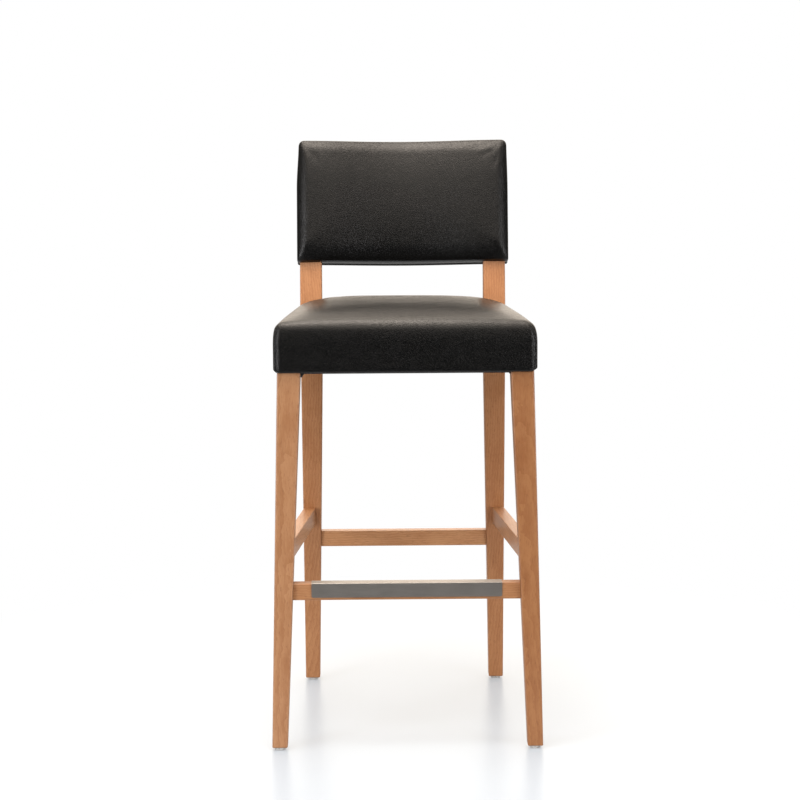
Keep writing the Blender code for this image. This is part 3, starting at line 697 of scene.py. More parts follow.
@dataclass(frozen=True)
class SteelFinish:
    """Metal with brushed or rolled streaks along the width of the stool."""

    name: str
    light: Colour
    deep: Colour
    roughness: float
    streak: float = 0.02
    streak_scale: float = 2600
    cloud_scale: float = 30
    relief: float = 0.00003

    def material(self) -> bpy.types.Material:
        """Material with fine streaks and a faint cloudiness.

        Returns:
            The material.
        """
        pattern = Pattern(self.name, Metallic=1.0)
        drawn = pattern.places(scale=(self.streak, 1, 1))
        streaks = pattern.speckle(drawn, self.streak_scale, 3, 0.7)
        clouds = pattern.speckle(pattern.places(), self.cloud_scale)
        share = pattern.spread(pattern.total((streaks, 0.7), (clouds, 0.5)), 0.4, 0.8)
        pattern.feed(Base_Color=pattern.blended(share, self.deep, self.light),
                     Roughness=pattern.spread(streaks, 0.3, 0.7, self.roughness - 0.05,
                                              self.roughness + 0.06))
        pattern.emboss(streaks, self.relief)
        return pattern.material


@dataclass(frozen=True)
class NylonFinish:
    """Milky moulded nylon with a matte, slightly scuffed surface."""

    name: str
    clean: Colour = (0.640, 0.610, 0.560)
    scuffed: Colour = (0.300, 0.280, 0.255)
    grain_scale: float = 1800
    scuff_scale: float = 240
    relief: float = 0.00005

    def material(self) -> bpy.types.Material:
        """Material with fine moulding grain and scuffs.

        Returns:
            The material.
        """
        pattern = Pattern(self.name, IOR=1.53)
        places = pattern.places()
        grain = pattern.speckle(places, self.grain_scale, 2)
        scuffs = pattern.speckle(places, self.scuff_scale, 4, 0.7)
        scuffs = pattern.spread(scuffs, 0.52, 0.68, 0, 0.8)
        pattern.feed(Base_Color=pattern.blended(scuffs, self.clean, self.scuffed),
                     Roughness=pattern.spread(grain, 0.3, 0.7, 0.42, 0.6))
        pattern.emboss(pattern.maths("SUBTRACT", grain, scuffs), self.relief)
        return pattern.material


@dataclass(frozen=True)
class LiningFinish:
    """Thin black bonded cloth with a dimpled, fibrous surface."""

    name: str
    dark: Colour = (0.010, 0.010, 0.011)
    light: Colour = (0.034, 0.034, 0.036)
    dimples: float = 620
    fibre_scale: float = 900
    relief: float = 0.00025

    def material(self) -> bpy.types.Material:
        """Material with rows of pressed dimples and loose fibres.

        Returns:
            The material.
        """
        pattern = Pattern(self.name, IOR=1.4, Sheen_Weight=0.15, Sheen_Roughness=0.6)
        places = pattern.places(turn=(0, 0, math.radians(45)))
        cells = pattern.node("TexVoronoi", {"Vector": places, "Scale": self.dimples,
                                            "Randomness": 0.12})
        pressed = pattern.spread(cells.outputs["Distance"], 0.15, 0.5)
        fibres = pattern.speckle(pattern.places(scale=(1, 0.15, 1)), self.fibre_scale, 4, 0.7)
        share = pattern.total((pressed, 0.5), (fibres, 0.6))
        pattern.feed(Base_Color=pattern.blended(share, self.dark, self.light),
                     Roughness=pattern.spread(fibres, 0.3, 0.7, 0.8, 0.95))
        pattern.emboss(share, self.relief)
        return pattern.material


# Frame


def dress_nodes(names: Iterable[str], material: bpy.types.Material) -> None:
    """Puts a material into every slot of the named solids.

    Args:
        names: The solids' names.
        material: The material.
    """
    for name in names:
        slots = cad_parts[name].material_slots
        for slot in slots:
            slot.material = material
        if not slots:
            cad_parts[name].data.materials.append(material)


def nodes_named(*starts: str) -> list[str]:
    """Names of the solids that start with one of the given words."""
    return [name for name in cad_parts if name.startswith(starts)]


@dataclass(frozen=True)
class Board:
    """Wooden piece of the frame, how its figure lies in it, and its tone: its own stain, brightened
    or darkened in part as painted light and shade.
    """

    node: str
    grain: Grain
    heart: Point
    # Tone scales the board's colour: partly its stain, partly painted light and shade.
    tone: Colour
    slant: Pair = (0.012, 0.010)


@dataclass
class WoodenFrame:
    """Beech legs and stretchers, each cut from a board with a figure of its own."""

    # Each board's tone is partly its own stain and partly painted light and shade, which lightens
    # pieces the lamps leave dim, such as the rear stretcher and the rear legs under the seat.
    boards: tuple[Board, ...] = (
        Board("front_leg_left", Grain.UPRIGHT, (0.205, 0.205, 0.1), (0.885, 0.935, 0.97),
              (0.060, 0.004)),
        Board("front_leg_right", Grain.UPRIGHT, (-0.206, 0.205, 0.4), (0.73, 0.67, 0.55),
              (0.080, 0.002)),
        Board("rear_leg_left", Grain.UPRIGHT, (0.240, -0.120, 0.7), (0.99, 0.96, 0.88),
              (0.018, 0.020)),
        Board("rear_leg_right", Grain.UPRIGHT, (-0.100, -0.150, 0.2), (0.965, 0.905, 0.80),
              (0.016, -0.015)),
        Board("footrest_rail", Grain.ACROSS, (0.220, 0.310, 0.3), (0.85, 0.85, 0.81)),
        Board("rear_stretcher", Grain.ACROSS, (0.240, -0.160, 0.9), (1.15, 1.22, 1.23)),
        Board("side_stretcher_left", Grain.LENGTHWISE, (0.280, 0.280, 0.5), (1.02, 1.06, 1.06)),
        Board("side_stretcher_right", Grain.LENGTHWISE, (-0.140, 0.300, 0.8), (0.98, 0.98, 0.96)),
    )

    def dress(self) -> None:
        """Gives every leg and stretcher its own cut of beech."""
        for board in self.boards:
            finish = BeechFinish("beech_" + board.node, board.grain, board.heart, board.slant,
                                 board.tone)
            dress_nodes([board.node], finish.material())
        log.info("wooden frame: %d pieces of beech", len(self.boards))


@dataclass
class Hardware:
    """Footrest plate, glides and fasteners."""

    plate: SteelFinish = SteelFinish("brushed_steel_plate", (0.300, 0.272, 0.245),
                                     (0.260, 0.236, 0.212), 0.42)
    zinc: SteelFinish = SteelFinish("zinc_fasteners", (0.62, 0.62, 0.60), (0.42, 0.42, 0.40),
                                    0.32, 0.5)
    nylon: NylonFinish = NylonFinish("milky_nylon")

    def dress(self) -> None:
        """Gives the metal and nylon pieces their finishes."""
        dress_nodes(nodes_named("kick_plate"), self.plate.material())
        dress_nodes(nodes_named("glide_front", "glide_rear"), self.nylon.material())
        dress_nodes(nodes_named("glide_nail", "corner_screw", "seat_board_screw"),
                    self.zinc.material())
        log.info("hardware: plate, glides, screws and nails")


@dataclass
class InnerTimber:
    """Bare rails, blocks and boards inside the seat and the back."""

    across: TimberFinish = TimberFinish("timber_across", Grain.ACROSS)
    lengthwise: TimberFinish = TimberFinish("timber_lengthwise", Grain.LENGTHWISE)
    plywood: TimberFinish = TimberFinish("plywood", Grain.ACROSS, plies=150)

    def dress(self) -> None:
        """Gives the hidden timber its finishes, so that it looks right where a joint shows it."""
        dress_nodes(("seat_rail_left", "seat_rail_right"), self.lengthwise.material())
        dress_nodes(nodes_named("seat_rail_front", "seat_rail_rear", "back_rail", "corner_block"),
                    self.across.material())
        dress_nodes(("seat_board", "back_board"), self.plywood.material())
        log.info("inner timber: rails, blocks and boards")


# Seat


@dataclass
class SeatCushion:
    """Leather seat over its foam, drawn down over the rails and tucked round the legs.

    A pair for a width is for the left and the right side. The room is the hollow for the seat
    frame, which is open below between the lips. The legs and posts are found by rays that start
    outside them or between them, towards a place inside them.
    """

    solids: Solids
    leather: bpy.types.Material
    front: float = -0.2462
    rear: float = 0.1941
    front_half: float = 0.2382
    rear_half: float = 0.2097
    front_line: float = -0.239
    rear_line: float = 0.157
    underside: float = 0.690
    edge: float = 0.7810
    crown: float = 0.0217
    crown_powers: Pair = (5.6, 4.8)
    crown_lean: float = 0.04
    crown_start: float = 0.25
    top_draw: Pair = (0.0072, 0.0100)
    draw_power: float = 3
    draw_along: float = 0.5
    bottom_draw: Pair = (0.0030, 0.0060)
    bottom_rise: float = 0.007
    bottom_power: float = 8
    right_trim: float = 0.0007
    side_blend: float = 0.6
    corner_radius: float = 0.014
    corner_segments: int = 16
    top_radius: float = 0.0118
    top_segments: int = 5
    bottom_radius: float = 0.0045
    bottom_segments: int = 3
    pitch: float = 0.007
    seam_angle: float = math.radians(48)
    seam_width: float = 0.0013
    seam_depth: float = 0.0012
    seam_ridge: float = 0.4
    ridge_place: float = 2.2
    seam_fade: float = 0.6
    filling: Filling = Filling(cap=0.0025)
    held_rise: Pair = (-0.002, 0.012)
    folds: tuple[Fold, ...] = (
        Fold(((-0.185, 0.120), (-0.060, 0.132), (0.080, 0.128), (0.170, 0.118)), 0.008, 0.0014),
        Fold(((-0.165, 0.148), (-0.120, 0.095), (-0.040, 0.060)), 0.006, 0.0018),
        Fold(((-0.172, 0.140), (-0.150, 0.080), (-0.120, 0.020)), 0.006, 0.0016),
        Fold(((-0.200, 0.110), (-0.185, 0.040), (-0.190, -0.040)), 0.007, 0.0012),
        Fold(((-0.150, 0.060), (-0.060, 0.085), (0.050, 0.070)), 0.006, 0.0009),
        Fold(((0.168, 0.146), (0.130, 0.110), (0.080, 0.085)), 0.006, 0.0014),
        Fold(((0.185, 0.120), (0.180, 0.060), (0.165, 0.000)), 0.007, 0.0010),
    )
    fold_rise: Pair = (-0.004, 0.012)
    tuck_place: Pair = (0.159, 0.160)
    tuck_depth: float = 0.006
    tuck_reach: float = 0.014
    lip: float = 0.018
    room_margin: float = 0.0083
    room_low: float = 0.6921
    room_high: float = 0.7618
    mouth_overlap: float = 0.001
    below: float = 0.02
    leg_high: float = 0.7503
    leg_inside: Pair = (0.21, -0.218)
    leg_reach: float = 0.3
    post_inside: Pair = (0.18, 0.175)
    post_out: float = 0.26
    post_pitch: float = 0.012

    @property
    def taper(self) -> float:
        """How much the half width grows to the metre of depth."""
        return (self.rear_half - self.front_half) / (self.rear_line - self.front_line)

    def half_width(self, y: float) -> float:
        """Half of the seat's width at a place along its depth."""
        return mixed(self.front_half, self.rear_half,
                     (y - self.front_line) / (self.rear_line - self.front_line))

    def block(self) -> BMesh:
        """Straight block with rounded corners and edges, cut so that it can bend.

        Returns:
            The block.
        """
        wide = self.front_half
        bm = box_between((-wide, self.front, self.underside), (wide, self.rear, self.edge))
        rounded(bm, self.corner_radius, self.corner_segments, partial(runs_along, 2))
        rounded(bm, self.top_radius, self.top_segments, edges_round((0, 0, 1)))
        rounded(bm, self.bottom_radius, self.bottom_segments, edges_round((0, 0, -1)))
        margin = self.corner_radius + self.pitch / 2
        cut_at(bm, 0, steps(margin - wide, wide - margin, self.pitch))
        cut_at(bm, 1, steps(self.front + margin, self.rear - margin, self.pitch))
        cut_at(bm, 2, steps(self.underside + self.bottom_radius + self.pitch / 2,
                            self.edge - self.top_radius - self.pitch / 2, self.pitch))
        return bm

    def sewn(self, point: Vector) -> Vector:
        """Draws in the seams at the front corners.

        Args:
            point: A point of the straight block.

        Returns:
            Where it lies with the seams, each a groove with a low ridge on both sides.
        """
        sign = 1 if point.x > 0 else -1
        centre = Vector((sign * (self.front_half - self.corner_radius),
                         self.front + self.corner_radius, point.z))
        away = point - centre
        if away.x * sign < 0 or away.y > 0:
            return point
        gap = self.corner_radius * (math.atan2(-away.y, away.x * sign) - self.seam_angle)
        ridge = hump(abs(gap) - self.ridge_place * self.seam_width, self.seam_width)
        depth = self.seam_depth * (hump(gap, self.seam_width) - self.seam_ridge * ridge)
        depth *= eased(point.z, self.underside, self.underside + self.bottom_radius)
        depth *= 1 - eased(point.z, self.edge - self.seam_fade * self.top_radius, self.edge)
        return point - away.normalized() * depth

    def crowned(self, point: Vector) -> Vector:
        """Crowns and tapers the seat.

        Args:
            point: A point of the straight block.

        Returns:
            Where it lies on the seat.
        """
        middle = (self.front + self.rear) / 2
        u = point.x / self.front_half
        v = (point.y - middle) / (self.rear - middle)
        w = (point.z - self.underside) / (self.edge - self.underside)
        crown = self.crown * (1 - self.crown_lean * u)
        for share, power in zip((u, v), self.crown_powers):
            crown *= 1 - min(abs(share), 1) ** power
        right = eased(u, -self.side_blend, self.side_blend)
        draw = mixed(*self.top_draw, right) * max(2 * w - 1, 0) ** self.draw_power
        tuck = mixed(*self.bottom_draw, right)
        tuck *= 1 - eased(point.z, self.underside, self.underside + self.bottom_rise)
        half = (self.half_width(point.y) - draw - tuck * abs(u) ** self.bottom_power
                - self.right_trim * right)
        return Vector((u * half, point.y - self.draw_along * v * draw,
                       point.z + crown * eased(w, self.crown_start, 1)))

    def held(self, point: Vector) -> float:
        """How firmly the leather is held: fast on the rails and at the edge, and free on top."""
        low, high = self.held_rise
        return 1 - GIVE * eased(point.z, self.edge + low, self.edge + high)

    def tucked(self, point: Vector) -> Vector:
        """Creases the top, and tucks it in at the posts.

        Args:
            point: A point of the crowned seat.

        Returns:
            Where it lies with the creases and tucks.
        """
        low, high = self.fold_rise
        top = eased(point.z, self.edge + low, self.edge + high)
        sink = sum(fold.sink(point.x, point.y) for fold in self.folds)
        across, along = abs(point.x) - self.tuck_place[0], point.y - self.tuck_place[1]
        gap = Vector((max(-across, 0), max(-along, 0))).length
        if max(across, along) > 0 or gap < 3 * self.tuck_reach:
            sink += self.tuck_depth * hump(gap, self.tuck_reach)
        return point - Vector((0, 0, sink * top))

    def widened(self, margin: float, point: Vector) -> Vector:
        """Where a point of a box two wide lies once the box fills the seat but for a margin."""
        return Vector((point.x * (self.half_width(point.y) - margin), point.y, point.z))

    def frame_room(self) -> list[BMesh]:
        """Room of the seat frame inside the cushion, and its mouth between the lips below.

        Returns:
            The two shapes.
        """
        shapes = []
        mouth = (self.lip, self.underside - self.below, self.room_low + self.mouth_overlap)
        for margin, low, high in ((self.room_margin, self.room_low, self.room_high), mouth):
            shape = box_between((-1, self.front + margin, low), (1, self.rear - margin, high))
            shapes.append(moved(shape, partial(self.widened, margin)))
        return shapes

    def leg_rooms(self) -> list[BMesh]:
        """Room of the front legs in the lips below, and of the posts at the rear corners.

        Returns:
            The four shapes.
        """
        low = self.underside - self.below
        shapes = []
        for side, sign in SIDES.items():
            place = partial(self.solids.corner, "front_leg_" + side, sign, self.leg_inside,
                            self.leg_reach)
            shapes.append(moved(box_between((-1, -1, low), (1, 1, self.leg_high)), place))
        for side, sign in SIDES.items():
            shape = box_between((-1, -1, low), (1, 1, self.edge + 2 * self.crown))
            cut_at(shape, 2, steps(self.underside, self.edge + self.crown, self.post_pitch))
            shapes.append(moved(shape, partial(self.post_corner, "rear_leg_" + side, sign)))
        return shapes

    def post_corner(self, node: str, sign: int, point: Vector) -> Vector:
        """Corner of a post's room at a height, which is open outwards and to the rear.

        Args:
            node: The post's name.
            sign: Its side, -1 on the left and 1 on the right.
            point: The corner of a box two wide, at the height.

        Returns:
            The corner, which keeps the clearance from the post.
        """
        x, y = self.post_inside
        inner = self.solids.hit(node, (0, y, point.z), (sign, 0, 0))
        front = self.solids.hit(node, (sign * x, 0, point.z), (0, 1, 0))
        return Vector((sign * self.post_out if point.x > 0 else inner.x - sign * CLEARANCE,
                       self.post_out if point.y > 0 else front.y - CLEARANCE, point.z))

    def build(self) -> None:
        """Makes the cushion in place of its plain solids."""
        bm = moved(moved(refined(self.block()), self.sewn), self.crowned)
        self.filling.swell(bm, self.held)
        bm = cut_away(moved(bm, self.tucked), [*self.frame_room(), *self.leg_rooms()])
        cushion = new_piece("seat_cushion", bm, self.leather)
        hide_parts("seat_cover", "seat_foam")
        log.info("seat cushion: %d faces", len(cushion.data.polygons))


@dataclass
class LegTucks:
    """Cut ends of the seat's leather, folded down beside the front legs.

    A size is a width, a depth and a drop. An end narrows towards its tip in width and depth.
    """

    solids: Solids
    leather: bpy.types.Material
    sizes: tuple[Point, Point] = ((0.0078, 0.0200, 0.0092), (0.0050, 0.0160, 0.0048))
    level: float = 0.6905
    root: float = 0.0012
    front: float = -0.2355
    leg_inside: Pair = (-0.215, 0.004)
    narrowing: Pair = (0.55, 0.6)
    narrow_from: float = 0.1
    tip_middle: float = 0.35
    radius: float = 0.0009
    sharp: float = 0.9
    crease: float = math.radians(60)

    def flap(self, side: str, sign: int, size: Point) -> BMesh:
        """Makes one folded end.

        Args:
            side: The leg's side.
            sign: The same, -1 on the left and 1 on the right.
            size: The end's size.

        Returns:
            The end, at its place.
        """
        width, depth, drop = size
        y, under = self.leg_inside
        face = self.solids.hit("front_leg_" + side, (0, y, self.level - under), (sign, 0, 0)).x
        flap = box_between((0, 0, -drop), (width, depth, self.root))
        cut_at(flap, 2, steps(-0.75 * drop, -0.25 * drop, 0.25 * drop))

        def narrowed(point: Vector) -> Vector:
            """Where a point lies once the end narrows towards its tip."""
            share = eased(-point.z, self.narrow_from * drop, drop)
            return Vector((point.x * (1 - self.narrowing[0] * share),
                           mixed(point.y, self.tip_middle * depth, self.narrowing[1] * share),
                           point.z))

        rounded(moved(flap, narrowed), self.radius, 2,
                lambda edge: edge.calc_face_angle(0) > self.sharp)
        moved(flap, lambda point: Vector((face - sign * (point.x + CLEARANCE),
                                          self.front + point.y, self.level + point.z)))
        bmesh.ops.recalc_face_normals(flap, faces=flap.faces)
        return flap

    def build(self) -> None:
        """Makes one folded end beside each front leg."""
        bm = joined(self.flap(side, sign, size)
                    for (side, sign), size in zip(SIDES.items(), self.sizes))
        tucks = new_piece("leg_tucks", bm, self.leather, self.crease)
        log.info("leg tucks: %d faces", len(tucks.data.polygons))


@dataclass
class SeatLining:
    """Thin cloth stapled under the seat, with its edge folded in, and its staples.

    The cloth hangs with a little slack inside its hem, more in some places than in others. The
    gaps say how far the rows of staples stay from the corners: the front and the rear row from
    the sides, and the side rows from the front and the rear edge.
    """

    seat: SeatCushion
    cloth: bpy.types.Material
    metal: bpy.types.Material
    margin: float = 0.0088
    top: float = 0.6897
    thickness: float = 0.0005
    hem: float = 0.012
    hem_fade: float = 0.002
    hem_drop: float = 0.0004
    slack: float = 0.0016
    slack_from: float = 0.10
    slack_range: Pair = (0.7, 0.5)
    ripples: Pair = (2.1, 9)
    ripple_start: float = 3.7
    pitch: float = 0.006
    staple_gap: float = 0.026
    staple_inset: float = 0.006
    staple_width: float = 0.0095
    staple_wire: float = 0.0011
    staple_bend: float = 0.32
    staple_bow: float = 0.0010
    staple_level: float = 0.0009
    staple_skew: float = math.radians(5)
    skew_step: float = 1.7
    skew_start: float = 0.3
    row_gaps: Pair = (0.055, 0.062)
    side_gaps: Pair = (0.055, 0.050)

    @property
    def ends(self) -> Pair:
        """Places of the lining's front and rear edges."""
        return self.seat.front + self.margin, self.seat.rear - self.margin

    def half_width(self, y: float) -> float:
        """Half of the lining's width at a place along its depth."""
        return self.seat.half_width(y) - self.margin

    def hung(self, point: Vector) -> Vector:
        """Hangs the lining level at its hem, and a little slack between.

        Args:
            point: A point of the flat lining, from -1 to 1 across.

        Returns:
            Where it hangs.
        """
        front, rear = self.ends
        half = self.half_width(point.y)
        edge = min(half * (1 - abs(point.x)), point.y - front, rear - point.y)
        ripple = noise.noise(Vector((point.x * self.ripples[0], point.y * self.ripples[1],
                                     self.ripple_start)))
        least, more = self.slack_range
        drop = self.hem_drop * (1 - eased(edge, self.hem, self.hem + self.hem_fade))
        drop += self.slack * eased(edge, self.hem, self.slack_from) * (least + more * ripple)
        return Vector((point.x * half, point.y, self.top - self.thickness - drop))

    def build(self) -> None:
        """Makes the lining in place of its plain solid, and its staples."""
        front, rear = self.ends
        bm = bmesh.new()
        bmesh.ops.create_grid(bm, x_segments=round(2 * self.seat.front_half / self.pitch),
                              y_segments=round((rear - front) / self.pitch), size=1)
        bmesh.ops.scale(bm, vec=(1, (rear - front) / 2, 1), verts=bm.verts)
        bmesh.ops.translate(bm, vec=(0, (rear + front) / 2, 0), verts=bm.verts)
        moved(bm, self.hung)
        bmesh.ops.recalc_face_normals(bm, faces=bm.faces)
        bmesh.ops.solidify(bm, geom=bm.faces[:], thickness=self.thickness)
        bm = cut_away(bm, self.seat.leg_rooms())
        area = sum(face.calc_area() for face in bm.faces) / 2
        lining = new_piece("seat_lining_cloth", bm, self.cloth)
        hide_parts("seat_lining")
        width, length = 2 * self.half_width(front), rear - front
        log.info("seat lining: %.3f square metres", area)
        wires = [self.staple(*place) for place in enumerate(self.staple_places())]
        new_piece("lining_staples", joined(wires), self.metal)
        log.info("lining staples: %d", len(wires))

    def staple_places(self) -> list[tuple[Vector, float]]:
        """Places of the staples, along the four sides and clear of the legs.

        Returns:
            The middle and the turn of each.
        """
        front, rear = self.ends
        places = []
        for y, gap in zip((front + self.staple_inset, rear - self.staple_inset), self.row_gaps):
            reach = self.half_width(y) - gap
            places += [(Vector((x, y, 0)), 0.0) for x in steps(-reach, reach, self.staple_gap)]
        for y in steps(front + self.side_gaps[0], rear - self.side_gaps[1], self.staple_gap):
            lean = math.atan(self.seat.taper)
            places += [(Vector((sign * (self.half_width(y) - self.staple_inset), y, 0)),
                        math.pi / 2 - sign * lean) for sign in SIDES.values()]
        return places

    def staple(self, number: int, place: tuple[Vector, float]) -> BMesh:
        """Makes a staple, a bowed wire with its ends driven in.

        Args:
            number: The staple's number, which gives it its own skew.
            place: The middle and the turn of the staple.

        Returns:
            The staple, at its place.
        """
        half, thick = self.staple_width / 2, self.staple_wire / 2
        wire = box_between((-half, -thick, -thick), (half, thick, thick))
        cut_at(wire, 0, (-self.staple_bend * self.staple_width,
                         self.staple_bend * self.staple_width))
        for vertex in wire.verts:
            vertex.co.z += self.staple_bow * eased(abs(vertex.co.x), 0.6 * half, half)
        middle, turn = place
        skew = self.staple_skew * noise.noise(Vector((number * self.skew_step, self.skew_start, 0)))
        level = self.top - self.thickness - self.staple_level
        lies = (Matrix.Translation((middle.x, middle.y, level))
                @ Matrix.Rotation(turn + skew, 4, "Z"))
        bmesh.ops.transform(wire, matrix=lies, verts=wire.verts)
        return wire


# Back


@dataclass
class BackCushion:
    """Leather back over its foam, bent in plan, closed on the posts and open behind for its panel.

    It is shaped flat and then placed. Flat, a point has a width, a depth from the front to the
    rear, and a height. A pair of shoulders is for the left and the right side.
    """

    solids: Solids
    leather: bpy.types.Material
    front_y: float = 0.16063
    front_z: float = 0.86457
    lean: float = math.radians(9.5)
    sag: float = 0.022
    half: float = 0.2090
    thickness: float = 0.0415
    height: float = 0.241
    top_corner: float = 0.011
    top_segments: int = 5
    segments: int = 3
    bottom_corner: float = 0.0035
    front_radius: float = 0.0030
    rear_radius: float = 0.0035
    front_margin: float = 0.0065
    pitch: float = 0.0065
    crown: float = 0.0125
    crown_fade: float = 0.6
    dome: float = 0.0055
    side_rise: float = 0.024
    top_rise: float = 0.080
    top_roll: float = 0.024
    bottom_rise: float = 0.047
    mitre: float = 4
    shoulder: Pair = (0.0042, 0.0018)
    shoulder_from: float = 0.6
    left_trim: float = 0.0012
    hem_rise: float = 0.0022
    hem_drop: float = 0.0026
    hem_front: Pair = (0.001, 0.009)
    hem_rear: Pair = (0.028, 0.032)
    hem_fade: Pair = (0.001, 0.012)
    folds: tuple[Fold, ...] = (
        Fold(((0.203, 0.236), (0.180, 0.219), (0.150, 0.200)), 0.0050, 0.0009),
        Fold(((0.204, 0.232), (0.190, 0.205), (0.178, 0.180)), 0.0045, 0.0008),
        Fold(((0.198, 0.237), (0.165, 0.228), (0.120, 0.222)), 0.0045, 0.0008),
        Fold(((-0.203, 0.236), (-0.182, 0.214), (-0.160, 0.188)), 0.0060, 0.0008),
        Fold(((-0.204, 0.006), (-0.178, 0.030), (-0.140, 0.060)), 0.0070, 0.0004),
        Fold(((0.204, 0.006), (0.176, 0.032), (0.145, 0.055)), 0.0070, 0.0004),
    )
    filling: Filling = Filling(cap=0.0018)
    held_depth: Pair = (0.004, 0.014)
    held_rim: Pair = (0.006, 0.050)
    skin: float = 0.0021
    frame_half: float = 0.2031
    frame_top: float = 0.2273
    frame_front: float = 0.0089
    frame_rear: float = 0.0375
    mouth: float = 0.01
    room_pitch: float = 0.012
    post_inside: Pair = (0.18, 0.012)
    post_reach: float = 0.2
    post_ends: Pair = (-0.03, 0.02)
    panel_margin: float = 0.015
    panel_corner: float = 0.003
    panel_edge: float = 0.0016
    panel_rim: float = 0.007

    def place(self, point: Vector) -> Vector:
        """Bends the flat back and leans it on the posts.

        Args:
            point: A point of the flat back.

        Returns:
            Where it lies on the stool.
        """
        bend = self.sag * math.cos(math.pi / 2 * min(abs(point.x) / self.half, 1)) ** 2
        depth = point.y + bend
        cos, sin = math.cos(self.lean), math.sin(self.lean)
        return Vector((point.x, self.front_y + depth * cos + point.z * sin,
                       self.front_z + point.z * cos - depth * sin))

    def block(self) -> BMesh:
        """Flat block with rounded corners and edges, cut so that it can bend.

        Returns:
            The block.
        """
        bm = box_between((-self.half, 0, 0), (self.half, self.thickness, self.height))

        def corner(high: bool, edge: Edge) -> bool:
            """Whether an edge is a corner at the top, or one at the bottom."""
            return runs_along(1, edge) and (edge.verts[0].co.z > self.height / 2) == high

        rounded(bm, self.top_corner, self.top_segments, partial(corner, True))
        rounded(bm, self.bottom_corner, self.segments, partial(corner, False))
        rounded(bm, self.front_radius, self.segments, edges_round((0, -1, 0)))
        rounded(bm, self.rear_radius, self.segments, edges_round((0, 1, 0)))
        margin = self.top_corner + self.pitch / 2
        cut_at(bm, 0, steps(margin - self.half, self.half - margin, self.pitch))
        cut_at(bm, 1, steps(self.front_margin + self.pitch / 2,
                            self.thickness - self.rear_radius - self.pitch / 2, self.pitch))
        cut_at(bm, 2, steps(self.bottom_corner + self.pitch / 2, self.height - margin, self.pitch))
        return bm

    def crowned(self, point: Vector) -> Vector:
        """Crowns the front, with a mitre at each corner, and lifts the hem below.

        Args:
            point: A point of the flat block.

        Returns:
            Where it lies on the flat back.
        """
        side = max(1 - (self.half - abs(point.x)) / self.side_rise, 0)
        below = self.height - point.z
        top = (max(1 - below / self.top_rise, 0) ** 2 + max(1 - below / self.top_roll, 0) ** 2) / 2
        level = max(math.sqrt(top), 1 - point.z / self.bottom_rise)
        drop = min((side ** (2 * self.mitre) + level ** (2 * self.mitre)) ** (1 / self.mitre), 1)
        u = point.x / self.half
        w = 2 * point.z / self.height - 1
        forward = self.crown * (1 - drop) + self.dome * (1 - u * u) * (1 - w * w)
        forward -= sum(fold.sink(point.x, point.z) for fold in self.folds)
        draw = self.shoulder[u > 0] * eased(point.z, self.shoulder_from * self.height, self.height)
        hem = (self.hem_rise * (1 - eased(point.y, *self.hem_front))
               - self.hem_drop * eased(point.y, *self.hem_rear))
        forward *= 1 - eased(point.y, 0, self.crown_fade * self.thickness)
        return Vector((point.x - u * (draw + self.left_trim * (u < 0)), point.y - forward,
                       point.z + hem * (1 - eased(point.z, *self.hem_fade))))

    def held(self, point: Vector) -> float:
        """How firmly the leather is held: fast behind and round its edges, and free in front."""
        rim = min(self.half - abs(point.x), point.z, self.height - point.z)
        return max(eased(point.y, *self.held_depth), 1 - GIVE * eased(rim, *self.held_rim))

    def flat_box(self, half: float, depths: Pair, heights: Pair) -> BMesh:
        """Bent box inside the back.

        Args:
            half: Half of its width.
            depths: Its front and rear.
            heights: Its bottom and top.

        Returns:
            The box, at its place.
        """
        shape = box_between((-half, depths[0], heights[0]), (half, depths[1], heights[1]))
        cut_at(shape, 0, steps(-half, half, self.room_pitch)[1:-1])
        return moved(shape, self.place)

    def rooms(self) -> list[BMesh]:
        """Room of the board, the rails and the posts, and the opening for the panel behind.

        Returns:
            The shapes.
        """
        rooms = [self.flat_box(self.frame_half, (self.frame_front,
                                                 self.frame_rear + 2 * CLEARANCE),
                               (self.skin, self.frame_top)),
                 self.flat_box(self.half - self.panel_margin,
                               (self.frame_rear, self.thickness + self.mouth),
                               (self.panel_margin, self.height - self.panel_margin))]
        low, high = (self.front_z + end for end in self.post_ends)
        for side, sign in SIDES.items():
            shape = box_between((-1, -1, low), (1, 1, high))
            rooms.append(moved(shape, partial(self.post_corner, "rear_leg_" + side, sign)))
        return rooms

    def post_corner(self, node: str, sign: int, point: Vector) -> Vector:
        """Corner of the room round a post at a height.

        Args:
            node: The post's name.
            sign: Its side, -1 on the left and 1 on the right.
            point: The corner of a box two wide, at the height.

        Returns:
            The corner, which keeps the clearance from the post.
        """
        x, depth = self.post_inside
        inside = (x, self.solids.hit(node, (sign * x, 0, point.z), (0, 1, 0)).y + depth)
        return self.solids.corner(node, sign, inside, self.post_reach, point)

    def build(self) -> None:
        """Makes the back in place of its plain solids, and its panel."""
        bm = moved(refined(self.block()), self.crowned)
        self.filling.swell(bm, self.held)
        bm = cut_away(moved(bm, self.place), self.rooms())
        cushion = new_piece("back_cushion", bm, self.leather)
        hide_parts("back_cover", "back_foam")
        log.info("back cushion: %d faces", len(cushion.data.polygons))
        self.make_panel()

